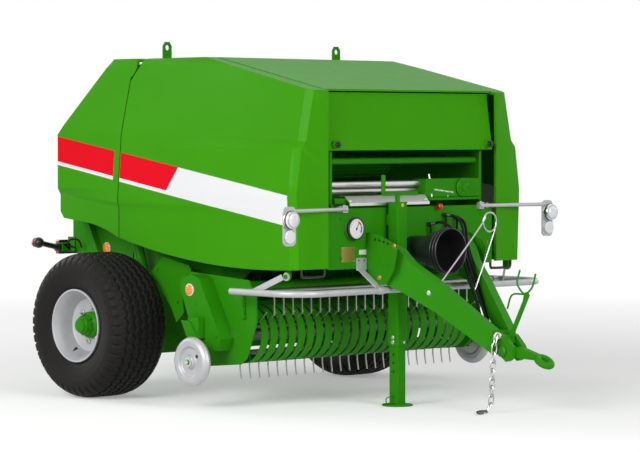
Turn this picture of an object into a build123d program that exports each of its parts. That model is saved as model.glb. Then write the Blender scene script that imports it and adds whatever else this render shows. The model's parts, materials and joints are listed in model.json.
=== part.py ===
"""Round baler with a fixed bale chamber, drawn in its parked pose on two wheels and its jack.

Frame: +X points forward along the drawbar, +Y to the machine's left, +Z up. The origin lies on the ground
in the middle of the machine's length and width. Sizes are millimetres.
"""

from build123d import *
import math
import os

os.makedirs("parts", exist_ok=True)

# ---------------------------------------------------------------- driving dimensions
AXLE_X = -900.0  # wheel axle, along X
GAP = 0.3  # between a piece and the seat that carries it
CLEAR = 6.0  # between pieces that move past each other
RUNNING = 0.06  # radial play of a shaft in its bore

# wheels
TRACK = 2158.0
TYRE_R = 435.0
TYRE_W = 404.0
RIM_R = 206.0
FLANGE_R = 219.0
FLANGE_Y = 183.0  # rim edge, from the wheel's middle plane
HUB_Z = TYRE_R  # wheel centre over the ground
TYRE_WALL = 24.0
HUB_R = 78.0
SPINDLE_R = 35.0

# bale chamber
CHAMBER_X = AXLE_X + 40
CHAMBER_Z = 1200.0
ROLLER_RING = 715.0  # roller axes lie on a circle of this radius
ROLLER_R = 88.0
ROLLER_RIB = 8.0
ROLLER_STEP = 18.0  # degrees between neighbouring rollers
FIRST_ROLLER = -19.0  # degrees, the roller above the intake
WALL_IN = 618.0  # inner face of the chamber walls
WALL_T = 22.0
WALL_OUT = WALL_IN + WALL_T
SPLIT_GAP = 10.0  # between the front walls and the tailgate walls

# tailgate hinge, covers and roof
HINGE_X = AXLE_X - 8
HINGE_Z = 1990.0
HINGE_PIN_R = 25.0
EAR_R = 38.0
EAR_T = 24.0
NOSE_R = 84.0
COVER_T = 18.0
COVER_SPLIT_X = AXLE_X + 39
COVER_GAP = 8.0
COVER_FRONT_X = AXLE_X + 1537  # where the side turns into the front corner
ROOF_Z = 2034.0
HOOD_HALF = 699.0
SEAM = 7.0  # between the roof and the side covers
COVER_HINGE_Y = 756.0
COVER_HINGE_Z = 2025.0
COVER_HINGE_AT = (AXLE_X + 330, AXLE_X + 590)
KNUCKLE_R = 9.0
KNUCKLE_HALF = 15.0
KNUCKLE_PIN_R = 5.0

# front end
PANEL_X = AXLE_X + 1582
PANEL_T = 20.0
PANEL_HALF = 690.0
SILL_Z = 804.0
LEDGE_Z = 1154.0
LID_Z = 1486.0
BROW_Z = 1820.0
LID_AXIS_X = AXLE_X + 1523
LID_AXIS_Z = 1808.0
LID_PIN_R = 5.0

# axle beam
BEAM = 120.0
BEAM_Z = 300.0
BEAM_HALF = 850.0

# pickup
REEL_X = AXLE_X + 1050
REEL_Z = 420.0
BAND_R = 170.0
BAND_T = 5.0
BAND_PITCH = 73.5
BAND_W = 54.0
BAND_COUNT = 24
BAND_REAR = 806.0  # how far ahead of the axle the bands start
TINE_R = 262.0
TINE_W = 6.0
BAR_RING = 108.0
BAR_R = 15.0
SHIELD_IN = 935.0
SHIELD_T = 10.0
GUARD_OUT = 1050.0
PIVOT_X = AXLE_X + 640
PIVOT_Z = 700.0
PIVOT_R = 20.0
GAUGE_X = AXLE_X + 966
GAUGE_Z = 272.0
GAUGE_R = 145.0
GAUGE_Y = 1179.0
GAUGE_W = 64.0

# crop guard hoop
HOOP_Y = 1060.0
HOOP_FRONT = AXLE_X + 1712
HOOP_REAR = AXLE_X + 1163
HOOP_Z = 682.0
HOOP_R = 19.0
HOOP_BEND = 190.0
HOOP_PIVOT_X = AXLE_X + 1490
HOOP_PIVOT_Z = 772.0
HOOP_PIVOT_Y = 932.0
HOOP_PIVOT_R = 12.0
COMB_X = AXLE_X + 1296
COMB_Z = 538.0
COMB_R = 12.0

# jack
JACK_X = AXLE_X + 1645
JACK_Y = -190.0
JACK_SIDE = 80.0
JACK_TOP = 1178.0
JACK_SPLIT_Z = 350.0

# drawbar
DRAW_PLATE_Y = 372.0
DRAW_PLATE_T = 14.0
DRAW_BEAM_T = 62.0
HITCH_X = AXLE_X + 2352
HITCH_Z = 350.0
EYE_X = AXLE_X + 2612
EYE_Z = 303.0

# drive line
PTO_Z = 903.0
PTO_R = 17.45

# tailgate cylinders
LIFT_Y = 742.0
LIFT_FOOT = (AXLE_X + 40, 700.0)
LIFT_EYE = (AXLE_X - 330, 1720.0)
LIFT_BARREL_R = 32.0
LIFT_ROD_R = 18.0


def fwd(distance):
    """X of a station the given distance ahead of the wheel axle."""
    return AXLE_X + distance


def side(y):
    """Plane parallel to the machine's sides at y; a positive extrude runs towards -Y."""
    return Plane.XZ.offset(-y)


def across(x):
    """Plane square to the direction of travel at x; a positive extrude runs forward."""
    return Plane.YZ.offset(x)


def outline(points):
    """Fill the closed straight-sided outline through points in the open sketch."""
    Polygon(*points, align=None)


def stations(*pairs):
    """Turn (distance ahead of the axle, height) pairs into points of a side view."""
    return [(fwd(distance), z) for distance, z in pairs]


def on_ring(x, z, radius, degrees):
    """Point on a circle round (x, z) in the side view."""
    angle = math.radians(degrees)
    return x + radius * math.cos(angle), z + radius * math.sin(angle)


def save(part, name):
    """Label a finished piece and write it."""
    part.label = name
    export_step(part, f"parts/{name}.step")


# ---------------------------------------------------------------- wheels
# tyre half section, columns: y as a share of half the width, radius
TYRE_SECTION = (
    (-0.80, RIM_R + GAP),
    (-1.00, TYRE_R - 120),
    (-0.97, TYRE_R - 62),
    (-0.80, TYRE_R - 16),
    (-0.45, TYRE_R),
    (0.45, TYRE_R),
    (0.80, TYRE_R - 16),
    (0.97, TYRE_R - 62),
    (1.00, TYRE_R - 120),
    (0.80, RIM_R + GAP),
    (0.80 - TYRE_WALL / TYRE_W * 2, RIM_R + GAP),
    (0.88, TYRE_R - 118),
    (0.84, TYRE_R - 62 - TYRE_WALL / 2),
    (0.70, TYRE_R - 16 - TYRE_WALL),
    (-0.70, TYRE_R - 16 - TYRE_WALL),
    (-0.84, TYRE_R - 62 - TYRE_WALL / 2),
    (-0.88, TYRE_R - 118),
    (-0.80 + TYRE_WALL / TYRE_W * 2, RIM_R + GAP),
)

for sign, hand in ((-1, "right"), (1, "left")):
    middle = sign * TRACK / 2
    hub_axis = Axis((AXLE_X, 0, HUB_Z), (0, 1, 0))
    radial = Plane(origin=(AXLE_X, middle, HUB_Z), x_dir=(1, 0, 0), z_dir=(0, 0, 1))

    with BuildPart() as tyre:
        with BuildSketch(radial):
            outline([(radius, share * TYRE_W / 2) for share, radius in TYRE_SECTION])
        revolve(axis=hub_axis)
    save(tyre.part, f"tyre_{hand}")

    # rim section from the outer edge inwards, columns: y outboard of the middle plane, radius
    rim_outer = (
        (FLANGE_Y, FLANGE_R),
        (FLANGE_Y, FLANGE_R - 10),
        (150, 190),
        (120, 178),
        (70, 160),
        (62, 132),
        (52, HUB_R + GAP),
        (42, HUB_R + GAP),
        (50, 136),
        (58, 166),
        (-100, 176),
        (-FLANGE_Y, 205),
        (-FLANGE_Y, FLANGE_R),
        (-FLANGE_Y + 14, FLANGE_R),
        (-FLANGE_Y + 20, RIM_R),
        (FLANGE_Y - 20, RIM_R),
        (FLANGE_Y - 14, FLANGE_R),
    )
    with BuildPart() as rim:
        with BuildSketch(radial):
            outline([(radius, sign * y) for y, radius in rim_outer])
        revolve(axis=hub_axis)
    save(rim.part, f"rim_{hand}")

    hub_section = (
        (-70, SPINDLE_R + RUNNING),
        (-70, 62),
        (-20, HUB_R),
        (78, HUB_R),
        (92, 60),
        (132, 52),
        (140, 40),
        (140, 0),
        (96, 0),
        (96, SPINDLE_R + RUNNING),
    )
    with BuildPart() as hub:
        with BuildSketch(radial):
            outline([(radius, sign * y) for y, radius in hub_section])
        revolve(axis=hub_axis)
    save(hub.part, f"hub_{hand}")

# ---------------------------------------------------------------- axle beam
SPINDLE_END = TRACK / 2 + 90
END_PLATE_T = 18.0
with BuildPart() as axle_beam:
    with BuildSketch(side(BEAM_HALF)):
        with Locations((AXLE_X, BEAM_Z)):
            RectangleRounded(BEAM, BEAM, 8)
    extrude(amount=2 * BEAM_HALF)
    with BuildSketch(side(-BEAM_HALF)):
        outline(
            stations(
                (-BEAM / 2, BEAM_Z - BEAM / 2),
                (BEAM / 2, BEAM_Z - BEAM / 2),
                (BEAM / 2, HUB_Z + 20),
                (30, HUB_Z + 60),
                (-30, HUB_Z + 60),
                (-BEAM / 2, HUB_Z + 20),
            )
        )
    extrude(amount=END_PLATE_T)
    with BuildSketch(side(-BEAM_HALF - END_PLATE_T)):
        with Locations((AXLE_X, HUB_Z)):
            Circle(SPINDLE_R)
    extrude(amount=SPINDLE_END - BEAM_HALF - END_PLATE_T)
    mirror(about=Plane.XZ)
save(axle_beam.part, "axle_beam")

# ---------------------------------------------------------------- chamber walls
# the split runs from the hinge down to the back of the chamber floor
SPLIT_FOOT = (fwd(-250), 455.0)
split_run = math.hypot(HINGE_X - SPLIT_FOOT[0], HINGE_Z - SPLIT_FOOT[1])
split_shift = SPLIT_GAP / 2 * split_run / (HINGE_Z - SPLIT_FOOT[1])
FLOOR_Z = BEAM_Z + BEAM / 2
front_wall_points = [
    (HINGE_X + split_shift, HINGE_Z),
    (SPLIT_FOOT[0] + split_shift, SPLIT_FOOT[1]),
] + stations(
    (-150, FLOOR_Z),
    (680, FLOOR_Z),
    (690, 420),
    (770, 700),
    (900, SILL_Z),
    (1562, SILL_Z),
    (1562, LEDGE_Z),
    (1540, LEDGE_Z + 30),
    (1540, LID_Z),
    (1495, 1795),
    (740, 1992),
    (60, 1992),
)
with BuildPart() as front_walls:
    with BuildSketch(side(-WALL_IN)):
        outline(front_wall_points)
        with Locations((HINGE_X, HINGE_Z)):
            Circle(EAR_R)
    extrude(amount=WALL_T)
    with BuildSketch(side(-WALL_OUT)):
        with Locations((HINGE_X, HINGE_Z)):
            Circle(HINGE_PIN_R)
    extrude(amount=CLEAR + EAR_T)
    # boss for the foot of the tailgate cylinder
    with BuildSketch(side(-WALL_OUT)):
        with Locations(LIFT_FOOT):
            Circle(20)
    extrude(amount=LIFT_Y + 24 - WALL_OUT)
    # arm that carries the pickup pivot
    with BuildSketch(side(-WALL_OUT)):
        with Locations((PIVOT_X, PIVOT_Z)):
            Circle(PIVOT_R)
    extrude(amount=SHIELD_IN + SHIELD_T - WALL_OUT)
    mirror(about=Plane.XZ)
save(front_walls.part, "front_walls")

TAIL_REAR = fwd(-780)
tail_wall_points = [
    (SPLIT_FOOT[0] - split_shift, SPLIT_FOOT[1]),
    (HINGE_X - split_shift, HINGE_Z),
] + stations(
    (-200, 1998),
    (-350, 1998),
    (-450, 1920),
    (-640, 1756),
    (-795, 1610),
    (-795, 1520),
    (-780, 1420),
    (-780, 890),
    (-640, 700),
    (-420, 520),
)
with BuildPart() as tail_walls:
    with BuildSketch(side(-WALL_IN)):
        outline(tail_wall_points)
        with Locations((HINGE_X, HINGE_Z)):
            Circle(EAR_R + CLEAR, mode=Mode.SUBTRACT)
    extrude(amount=WALL_T)
    # hinge ear, standing outside the front wall
    ear_back = HINGE_X - 150
    with BuildSketch(side(-WALL_OUT)):
        outline(
            [
                (ear_back, HINGE_Z - 5),
                (HINGE_X - EAR_R - CLEAR - 14, HINGE_Z - 5),
                (HINGE_X - EAR_R - CLEAR - 30, HINGE_Z - 110),
                (ear_back, HINGE_Z - 110),
            ]
        )
    extrude(amount=CLEAR)
    with BuildSketch(side(-WALL_OUT - CLEAR)):
        outline(
            [
                (ear_back, HINGE_Z - 5),
                (HINGE_X, HINGE_Z + EAR_R),
                (HINGE_X + EAR_R * 0.8, HINGE_Z - EAR_R * 0.6),
                (HINGE_X - EAR_R - CLEAR - 30, HINGE_Z - 110),
                (ear_back, HINGE_Z - 110),
            ]
        )
        with Locations((HINGE_X, HINGE_Z)):
            Circle(EAR_R)
            Circle(HINGE_PIN_R + RUNNING, mode=Mode.SUBTRACT)
    extrude(amount=EAR_T)
    # stiffening tube on the lower corner
    brace_low = (fwd(-500), 826)
    brace_high = (fwd(-606), 1026)
    brace_half = 28
    with BuildSketch(side(-WALL_OUT)):
        outline(
            [
                (brace_low[0] - brace_half, brace_low[1]),
                (brace_low[0] + brace_half, brace_low[1]),
                (brace_high[0] + brace_half, brace_high[1]),
                (brace_high[0] - brace_half, brace_high[1]),
            ]
        )
    extrude(amount=45)
    # boss facing the cylinder's rod eye
    with BuildSketch(side(-WALL_OUT)):
        with Locations(LIFT_EYE):
            Circle(34)
    extrude(amount=LIFT_Y - 16 - CLEAR - WALL_OUT)
    mirror(about=Plane.XZ)
save(tail_walls.part, "tail_walls")

# ---------------------------------------------------------------- chamber rollers
ROLLER_HALF = WALL_IN - CLEAR
SHAFT_HALF = WALL_IN - GAP
# columns: name, index of the first roller, how many
ROLLER_GROUPS = (
    ("front_rollers", 0, 7),
    ("floor_rollers", 15, 2),
    ("tail_rollers", 7, 8),
)
for name, first, count in ROLLER_GROUPS:
    with BuildPart() as rollers:
        for index in range(first, first + count):
            degrees = FIRST_ROLLER + index * ROLLER_STEP
            spot = on_ring(CHAMBER_X, CHAMBER_Z, ROLLER_RING, degrees)
            with BuildSketch(side(ROLLER_HALF)):
                with Locations(spot):
                    Circle(ROLLER_R)
                    with PolarLocations(ROLLER_R, 8):
                        Rectangle(2 * ROLLER_RIB, 10)
            extrude(amount=2 * ROLLER_HALF)
            with BuildSketch(side(SHAFT_HALF)):
                with Locations(spot):
                    Circle(24)
            extrude(amount=2 * SHAFT_HALF)
    save(rollers.part, name)

# ---------------------------------------------------------------- intake rotor
ROTOR_X = fwd(545)
ROTOR_Z = 545.0
ROTOR_R = 190.0
STAR_COUNT = 9
with BuildPart() as feed_rotor:
    with BuildSketch(side(WALL_IN - CLEAR)):
        with Locations((ROTOR_X, ROTOR_Z)):
            Circle(75)
    extrude(amount=2 * (WALL_IN - CLEAR))
    with BuildSketch(side(SHAFT_HALF)):
        with Locations((ROTOR_X, ROTOR_Z)):
            Circle(30)
    extrude(amount=2 * SHAFT_HALF)
    for index in range(STAR_COUNT):
        star_y = (index - (STAR_COUNT - 1) / 2) * 2 * BAND_PITCH * 0.9
        with BuildSketch(side(star_y + 6)):
            for point in range(3):
                turn = point * 120 + index * 40
                outline(
                    [
                        on_ring(ROTOR_X, ROTOR_Z, 60, turn - 40),
                        on_ring(ROTOR_X, ROTOR_Z, 60, turn + 40),
                        on_ring(ROTOR_X, ROTOR_Z, ROTOR_R, turn + 22),
                        on_ring(ROTOR_X, ROTOR_Z, ROTOR_R - 20, turn + 10),
                    ]
                )
        extrude(amount=12)
save(feed_rotor.part, "feed_rotor")

# floor under the rotor, from the intake to the floor rollers
with BuildPart() as feed_floor:
    with BuildSketch(side(WALL_IN - GAP)):
        with BuildLine():
            floor_in = ROTOR_R + 14
            floor_out = floor_in + 12
            lip = on_ring(ROTOR_X, ROTOR_Z, floor_in, 314)
            low = on_ring(ROTOR_X, ROTOR_Z, floor_in, 260)
            back = on_ring(ROTOR_X, ROTOR_Z, floor_in, 205)
            lip_out = on_ring(ROTOR_X, ROTOR_Z, floor_out, 314)
            low_out = on_ring(ROTOR_X, ROTOR_Z, floor_out, 260)
            back_out = on_ring(ROTOR_X, ROTOR_Z, floor_out, 205)
            ThreePointArc(lip, low, back)
            Line(back, back_out)
            ThreePointArc(back_out, low_out, lip_out)
            Line(lip_out, lip)
        make_face()
    extrude(amount=2 * (WALL_IN - GAP))
save(feed_floor.part, "feed_floor")

# ---------------------------------------------------------------- side covers
# the skin as cross-sections, columns: station ahead of the axle, then (height, half width) from sill to roof
SKIN = (
    (-560, ((740, 918), (1205, 918), (1243, 940), (1574, 940), (1640, 934), (ROOF_Z, 850))),
    (39, ((740, 950), (1140, 950), (1168, 962), (1580, 930), (1625, 920), (ROOF_Z, 826))),
    (1537, ((740, 950), (1069, 960), (1243, 968), (1500, 930), (1541, 892), (ROOF_Z, 784))),
    (1580, ((740, 920), (1069, 930), (1243, 938), (1500, 900), (1541, 862), (ROOF_Z, 756))),
    (1602, ((740, 712), (1069, 712), (1243, 712), (1500, 712), (1541, 712), (ROOF_Z, 706))),
)
SKIN_INNER = WALL_OUT + 10


def skin_block(inset):
    """Solid from near the chamber wall out to the cover's skin, pulled in by inset."""
    with BuildPart() as block:
        for station, points in SKIN:
            depth = inset if station > 1500 else 0
            with BuildSketch(across(fwd(station) - depth)):
                half = [(-(width - inset), z) for z, width in points]
                outline([(-SKIN_INNER, points[0][0])] + half + [(-SKIN_INNER, points[-1][0])])
        loft(ruled=True)
    return block.part


skin_outer = skin_block(0)
skin_inner = skin_block(COVER_T)

# upper edge, starting where the rear corner is cut off clear of the tailgate's nose
front_cover_top = stations((134, ROOF_Z), (650, ROOF_Z), (1559, 1834), (1610, 1829))
CORNER_CUT_Z = 1898.0
with BuildPart() as front_cover_shape:
    with BuildSketch(side(-SKIN_INNER + 20)):
        with BuildLine():
            seam_x = COVER_SPLIT_X + COVER_GAP / 2
            sill_front = (fwd(1602), 813)
            sill_mid = (fwd(700), 838)
            sill_rear = (seam_x, 953)
            Polyline(sill_rear, (seam_x, CORNER_CUT_Z), *front_cover_top, (fwd(1610), 813), sill_front)
            ThreePointArc(sill_front, sill_mid, sill_rear)
        make_face()
    extrude(amount=400)

with BuildPart() as front_cover_hollow:
    with BuildSketch(side(-SKIN_INNER + 20)):
        outline(
            stations(
                (0, 700),
                (0, ROOF_Z - COVER_T),
                (645, ROOF_Z - COVER_T),
                (1550, 1836 - COVER_T),
                (1610, 1832 - COVER_T),
                (1610, 700),
            )
        )
    extrude(amount=400)

EYE_PLATE_X = fwd(211)
EYE_PLATE_T = 12.0
EYE_PLATE_IN = 680.0
EYE_PLATE_OUT = 745.0
EYE_PLATE_TOP = ROOF_Z + 100
EYE_HOLE_R = 17.0
# front covers: shell between the two skins, kept inside the outline and outside the panels' width
HOOD_SEAM = HOOD_HALF + SEAM
with BuildPart() as side_cover_right:
    add(skin_outer)
    add(front_cover_shape.part, mode=Mode.INTERSECT)
    add(skin_inner & front_cover_hollow.part, mode=Mode.SUBTRACT)
    with Locations((fwd(800), -HOOD_SEAM / 2, 1400)):
        Box(2400, HOOD_SEAM, 1500, mode=Mode.SUBTRACT)
    # slot for the lifting eye
    with Locations((EYE_PLATE_X, -(HOOD_SEAM + EYE_PLATE_OUT + CLEAR) / 2, ROOF_Z)):
        Box(
            EYE_PLATE_T + 2 * CLEAR,
            EYE_PLATE_OUT + CLEAR - HOOD_SEAM,
            4 * COVER_T,
            mode=Mode.SUBTRACT,
        )
    # hinge lugs either side of a slot for the fixed knuckle
    slot_out = COVER_HINGE_Y + KNUCKLE_R + CLEAR
    for x in COVER_HINGE_AT:
        with BuildSketch(across(x - KNUCKLE_HALF - 30)):
            with Locations((-COVER_HINGE_Y, COVER_HINGE_Z)):
                Circle(KNUCKLE_R)
        extrude(amount=2 * (KNUCKLE_HALF + 30))
        with Locations((x, -(HOOD_SEAM + slot_out) / 2 + 10, ROOF_Z)):
            Box(2 * (KNUCKLE_HALF + CLEAR), slot_out - HOOD_SEAM + 20, 4 * COVER_T, mode=Mode.SUBTRACT)
        with BuildSketch(across(x - KNUCKLE_HALF - 30)):
            with Locations((-COVER_HINGE_Y, COVER_HINGE_Z)):
                Circle(KNUCKLE_PIN_R + RUNNING)
        extrude(amount=2 * (KNUCKLE_HALF + 30), mode=Mode.SUBTRACT)
save(side_cover_right.part, "side_cover_right")

with BuildPart() as side_cover_left:
    add(side_cover_right.part.mirror(Plane.XZ))
save(side_cover_left.part, "side_cover_left")

# arms from the chamber wall with the fixed knuckles and their pins
with BuildPart() as cover_hinges:
    for x in COVER_HINGE_AT:
        with BuildSketch(across(x - KNUCKLE_HALF)):
            outline(
                [
                    (-WALL_OUT - GAP, 1900),
                    (-WALL_OUT - GAP, 1970),
                    (-COVER_HINGE_Y + 4, COVER_HINGE_Z + 7),
                    (-COVER_HINGE_Y - 8, COVER_HINGE_Z - 2),
                    (-COVER_HINGE_Y - 6, COVER_HINGE_Z - 14),
                ]
            )
            with Locations((-COVER_HINGE_Y, COVER_HINGE_Z)):
                Circle(KNUCKLE_R)
        extrude(amount=2 * KNUCKLE_HALF)
        with BuildSketch(across(x - KNUCKLE_HALF - 26)):
            with Locations((-COVER_HINGE_Y, COVER_HINGE_Z)):
                Circle(KNUCKLE_PIN_R)
        extrude(amount=2 * (KNUCKLE_HALF + 26))
    mirror(about=Plane.XZ)
save(cover_hinges.part, "cover_hinges")

# tailgate covers, both in one node
with BuildPart() as tail_cover_shape:
    with BuildSketch(side(-SKIN_INNER + 20)):
        with BuildLine():
            seam_x = COVER_SPLIT_X - COVER_GAP / 2
            nose_end = (seam_x, HINGE_Z - math.sqrt(NOSE_R**2 - (seam_x - HINGE_X) ** 2))
            nose_front = (HINGE_X + NOSE_R, HINGE_Z)
            nose_top = on_ring(HINGE_X, HINGE_Z, NOSE_R, 32)
            roof_front = (HINGE_X + 34, ROOF_Z)
            tail_low = (fwd(-390), 1046)
            tail_mid = (fwd(-180), 1021)
            Line((seam_x, 953), nose_end)
            ThreePointArc(nose_end, nose_front, nose_top)
            Polyline(
                nose_top,
                roof_front,
                (fwd(-150), ROOF_Z),
                (fwd(-560), 1574),
                (fwd(-560), 1100),
                (fwd(-525), 1060),
                tail_low,
            )
            ThreePointArc(tail_low, tail_mid, (seam_x, 953))
        make_face()
    extrude(amount=400)

with BuildPart() as tail_cover_hollow:
    with BuildSketch(side(-SKIN_INNER + 20)):
        outline(
            stations(
                (200, 800),
                (200, ROOF_Z - COVER_T),
                (-142, ROOF_Z - COVER_T),
                (-560 + COVER_T, 1568),
                (-560 + COVER_T, 800),
            )
        )
    extrude(amount=400)

with BuildPart() as tail_covers:
    add(skin_outer)
    add(tail_cover_shape.part, mode=Mode.INTERSECT)
    add(skin_inner & tail_cover_hollow.part, mode=Mode.SUBTRACT)
    with Locations((fwd(-200), -HOOD_SEAM / 2, 1400)):
        Box(1000, HOOD_SEAM, 1500, mode=Mode.SUBTRACT)
    # brackets back to the tailgate wall
    for x, z, reach in ((-480, 1500, 928), (-100, 1860, 862), (-480, 1150, 906)):
        with Locations((fwd(x), -(WALL_OUT + GAP + reach) / 2, z)):
            Box(40, reach - WALL_OUT - GAP, 40)
    mirror(about=Plane.XZ)
save(tail_covers.part, "tail_covers")

# ---------------------------------------------------------------- tailgate frame and rear lamps
LAMP_BAR_X = fwd(-820)
LAMP_BAR_Z = 864.0
with BuildPart() as tail_frame:
    for x, z, size in ((fwd(-319), 1970, 50), (fwd(-757), 1572, 60)):
        with Locations((x, 0, z)):
            Box(size, 2 * (WALL_IN - GAP), size)
save(tail_frame.part, "tail_frame")

with BuildPart() as lamp_bar:
    with Locations((LAMP_BAR_X, 0, LAMP_BAR_Z)):
        Box(60, 1440, 52)
    for sign in (-1, 1):
        with Locations((fwd(-786), sign * (WALL_OUT + 6), LAMP_BAR_Z + 20)):
            Box(68, 12 - 2 * GAP, 90)
save(lamp_bar.part, "lamp_bar")

with BuildPart() as rear_lamps:
    for sign in (-1, 1):
        with BuildSketch(Plane.YZ.offset(LAMP_BAR_X - 30 - GAP)):
            with Locations((sign * 600, LAMP_BAR_Z)):
                RectangleRounded(200, 90, 12)
        extrude(amount=-34)
save(rear_lamps.part, "rear_lamps")

with BuildPart() as stalk_lamps:
    for sign in (-1, 1):
        with Locations((LAMP_BAR_X, sign * (720 + GAP + 10), LAMP_BAR_Z)):
            Box(50, 20, 46)
        with BuildSketch(Plane((LAMP_BAR_X, sign * 735, LAMP_BAR_Z), x_dir=(1, 0, 0), z_dir=(0, sign, 0.22))):
            Circle(17)
        extrude(amount=130)
        with Locations((LAMP_BAR_X, sign * 885, LAMP_BAR_Z + 33)):
            Sphere(34)
save(stalk_lamps.part, "stalk_lamps")

# ---------------------------------------------------------------- roof, hood and panels
with BuildPart() as hood:
    with BuildSketch(side(HOOD_HALF)):
        outline(
            stations(
                (50, ROOF_Z),
                (665, ROOF_Z),
                (1552, 1838),
                (1552, 1828),
                (1500, 1826),
                (665, ROOF_Z - 14),
                (50, ROOF_Z - 14),
            )
        )
    extrude(amount=2 * HOOD_HALF)
    for sign in (-1, 1):
        with Locations((EYE_PLATE_X, sign * HOOD_HALF, ROOF_Z)):
            Box(EYE_PLATE_T + 2 * GAP, 2 * (HOOD_HALF - EYE_PLATE_IN + GAP), 60, mode=Mode.SUBTRACT)
    # lugs and pins that carry the net lid
    for sign in (-1, 1):
        with BuildSketch(side(sign * (HOOD_HALF - 2) + 2)):
            with Locations((LID_AXIS_X, LID_AXIS_Z)):
                Circle(11)
            with Locations((LID_AXIS_X, LID_AXIS_Z + 11)):
                Rectangle(22, 26)
        extrude(amount=4)
        with BuildSketch(side(sign * (HOOD_HALF - 16) + 12)):
            with Locations((LID_AXIS_X, LID_AXIS_Z)):
                Circle(LID_PIN_R)
        extrude(amount=24)
    # edge channels that stand on the walls
    for sign in (-1, 1):
        with BuildSketch(side(sign * (WALL_IN + 2) + (WALL_T - 4 if sign > 0 else 0))):
            outline(
                stations(
                    (100, ROOF_Z - 14),
                    (665, ROOF_Z - 14),
                    (1480, 1840),
                    (1480, 1800 + GAP),
                    (740, 1992 + GAP),
                    (100, 1992 + GAP),
                )
            )
        extrude(amount=WALL_T - 4)
save(hood.part, "hood")

with BuildPart() as lifting_eyes:
    for sign in (-1, 1):
        with BuildSketch(Plane.YZ.offset(EYE_PLATE_X - EYE_PLATE_T / 2)):
            outline(
                [
                    (sign * (WALL_OUT + GAP), 1860),
                    (sign * (WALL_OUT + GAP), 1985),
                    (sign * EYE_PLATE_IN, 2010),
                    (sign * EYE_PLATE_IN, EYE_PLATE_TOP - 25),
                    (sign * (EYE_PLATE_IN + 17), EYE_PLATE_TOP),
                    (sign * (EYE_PLATE_OUT - 17), EYE_PLATE_TOP),
                    (sign * EYE_PLATE_OUT, EYE_PLATE_TOP - 25),
                    (sign * EYE_PLATE_OUT, 2000),
                ]
            )
            with Locations((sign * (EYE_PLATE_IN + EYE_PLATE_OUT) / 2, EYE_PLATE_TOP - 35)):
                Circle(EYE_HOLE_R, mode=Mode.SUBTRACT)
        extrude(amount=EYE_PLATE_T)
save(lifting_eyes.part, "lifting_eyes")

with BuildPart() as net_lid:
    with BuildSketch(side(PANEL_HALF)):
        outline(
            [
                (PANEL_X, LID_Z),
                (PANEL_X - 50, BROW_Z),
                (PANEL_X - 50 - PANEL_T, BROW_Z),
                (PANEL_X - PANEL_T, LID_Z),
            ]
        )
    extrude(amount=2 * PANEL_HALF)
    with BuildSketch(side(PANEL_HALF)):
        with Locations((LID_AXIS_X, LID_AXIS_Z)):
            Circle(LID_PIN_R + RUNNING)
    extrude(amount=2 * PANEL_HALF, mode=Mode.SUBTRACT)
    for sign in (-1, 1):
        with BuildSketch(across(PANEL_X - 4)):
            with Locations((sign * 640, LID_Z + 34)):
                Circle(22)
        extrude(amount=26)
save(net_lid.part, "net_lid")

with BuildPart() as lower_panel:
    with BuildSketch(side(PANEL_HALF)):
        outline(
            [
                (PANEL_X, SILL_Z),
                (PANEL_X, LEDGE_Z),
                (PANEL_X - PANEL_T, LEDGE_Z),
                (PANEL_X - PANEL_T, SILL_Z),
            ]
        )
    extrude(amount=2 * PANEL_HALF)
save(lower_panel.part, "lower_panel")

# what shows in the opening between the panels
with BuildPart() as net_frame:
    with BuildSketch(side(WALL_IN - GAP)):
        with Locations((fwd(1500), 1423)):
            Circle(18)
    extrude(amount=2 * (WALL_IN - GAP))
    with Locations((fwd(1540), -190, 1200)):
        Box(60, 2 * 350, 8)
    with Locations((fwd(1530), -WALL_IN + 45 + GAP, 1195)):
        Box(60, 90, 30)
    with Locations((fwd(1530), WALL_IN - 225 - GAP, 1195)):
        Box(60, 450, 16)
save(net_frame.part, "net_frame")

NET_DRIVE_Y = 140.0
with BuildPart() as net_rollers:
    for x, z in stations((1490, 1288), (1460, 1250)):
        with BuildSketch(side(NET_DRIVE_Y - GAP)):
            with Locations((x, z)):
                Circle(20)
        extrude(amount=NET_DRIVE_Y - GAP + WALL_IN - GAP)
save(net_rollers.part, "net_rollers")

with BuildPart() as net_drive:
    with Locations((fwd(1500), (NET_DRIVE_Y + WALL_IN - GAP) / 2, 1260)):
        Box(110, WALL_IN - GAP - NET_DRIVE_Y, 110)
save(net_drive.part, "net_drive")

with BuildPart() as front_lamps:
    for sign in (-1, 1):
        arm_start = (fwd(1584) + GAP, sign * 560, 1150)
        with BuildSketch(Plane((fwd(1602) + GAP, sign * 560, 1150), x_dir=(1, 0, 0), z_dir=(0.15, sign, 0))):
            Circle(11)
        extrude(amount=505)
        with Locations((fwd(1594), sign * 575, 1150)):
            Box(24, 40, 40)
        with BuildSketch(across(fwd(1672))):
            with Locations((sign * 1085, 1065)):
                RectangleRounded(96, 220, 30)
        extrude(amount=8)
        for z, radius, depth in ((1102, 45, 40), (1007, 38, 8)):
            with BuildSketch(across(fwd(1680))):
                with Locations((sign * 1090, z)):
                    Circle(radius)
            extrude(amount=depth)
save(front_lamps.part, "front_lamps")

with BuildPart() as pressure_gauge:
    with BuildSketch(across(PANEL_X + GAP)):
        with Locations((-500, 1037)):
            Circle(64)
    extrude(amount=36)
save(pressure_gauge.part, "pressure_gauge")

# ---------------------------------------------------------------- drive line
with BuildPart() as gearbox:
    with Locations((fwd(1450), 0, PTO_Z)):
        Box(2 * (1582 - 1450) - 2 * PANEL_T - 2 * GAP, 260, 190)
    with Locations((fwd(1420), 0, PTO_Z)):
        Box(90, 2 * (WALL_IN - GAP), 90)
save(gearbox.part, "gearbox")

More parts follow.
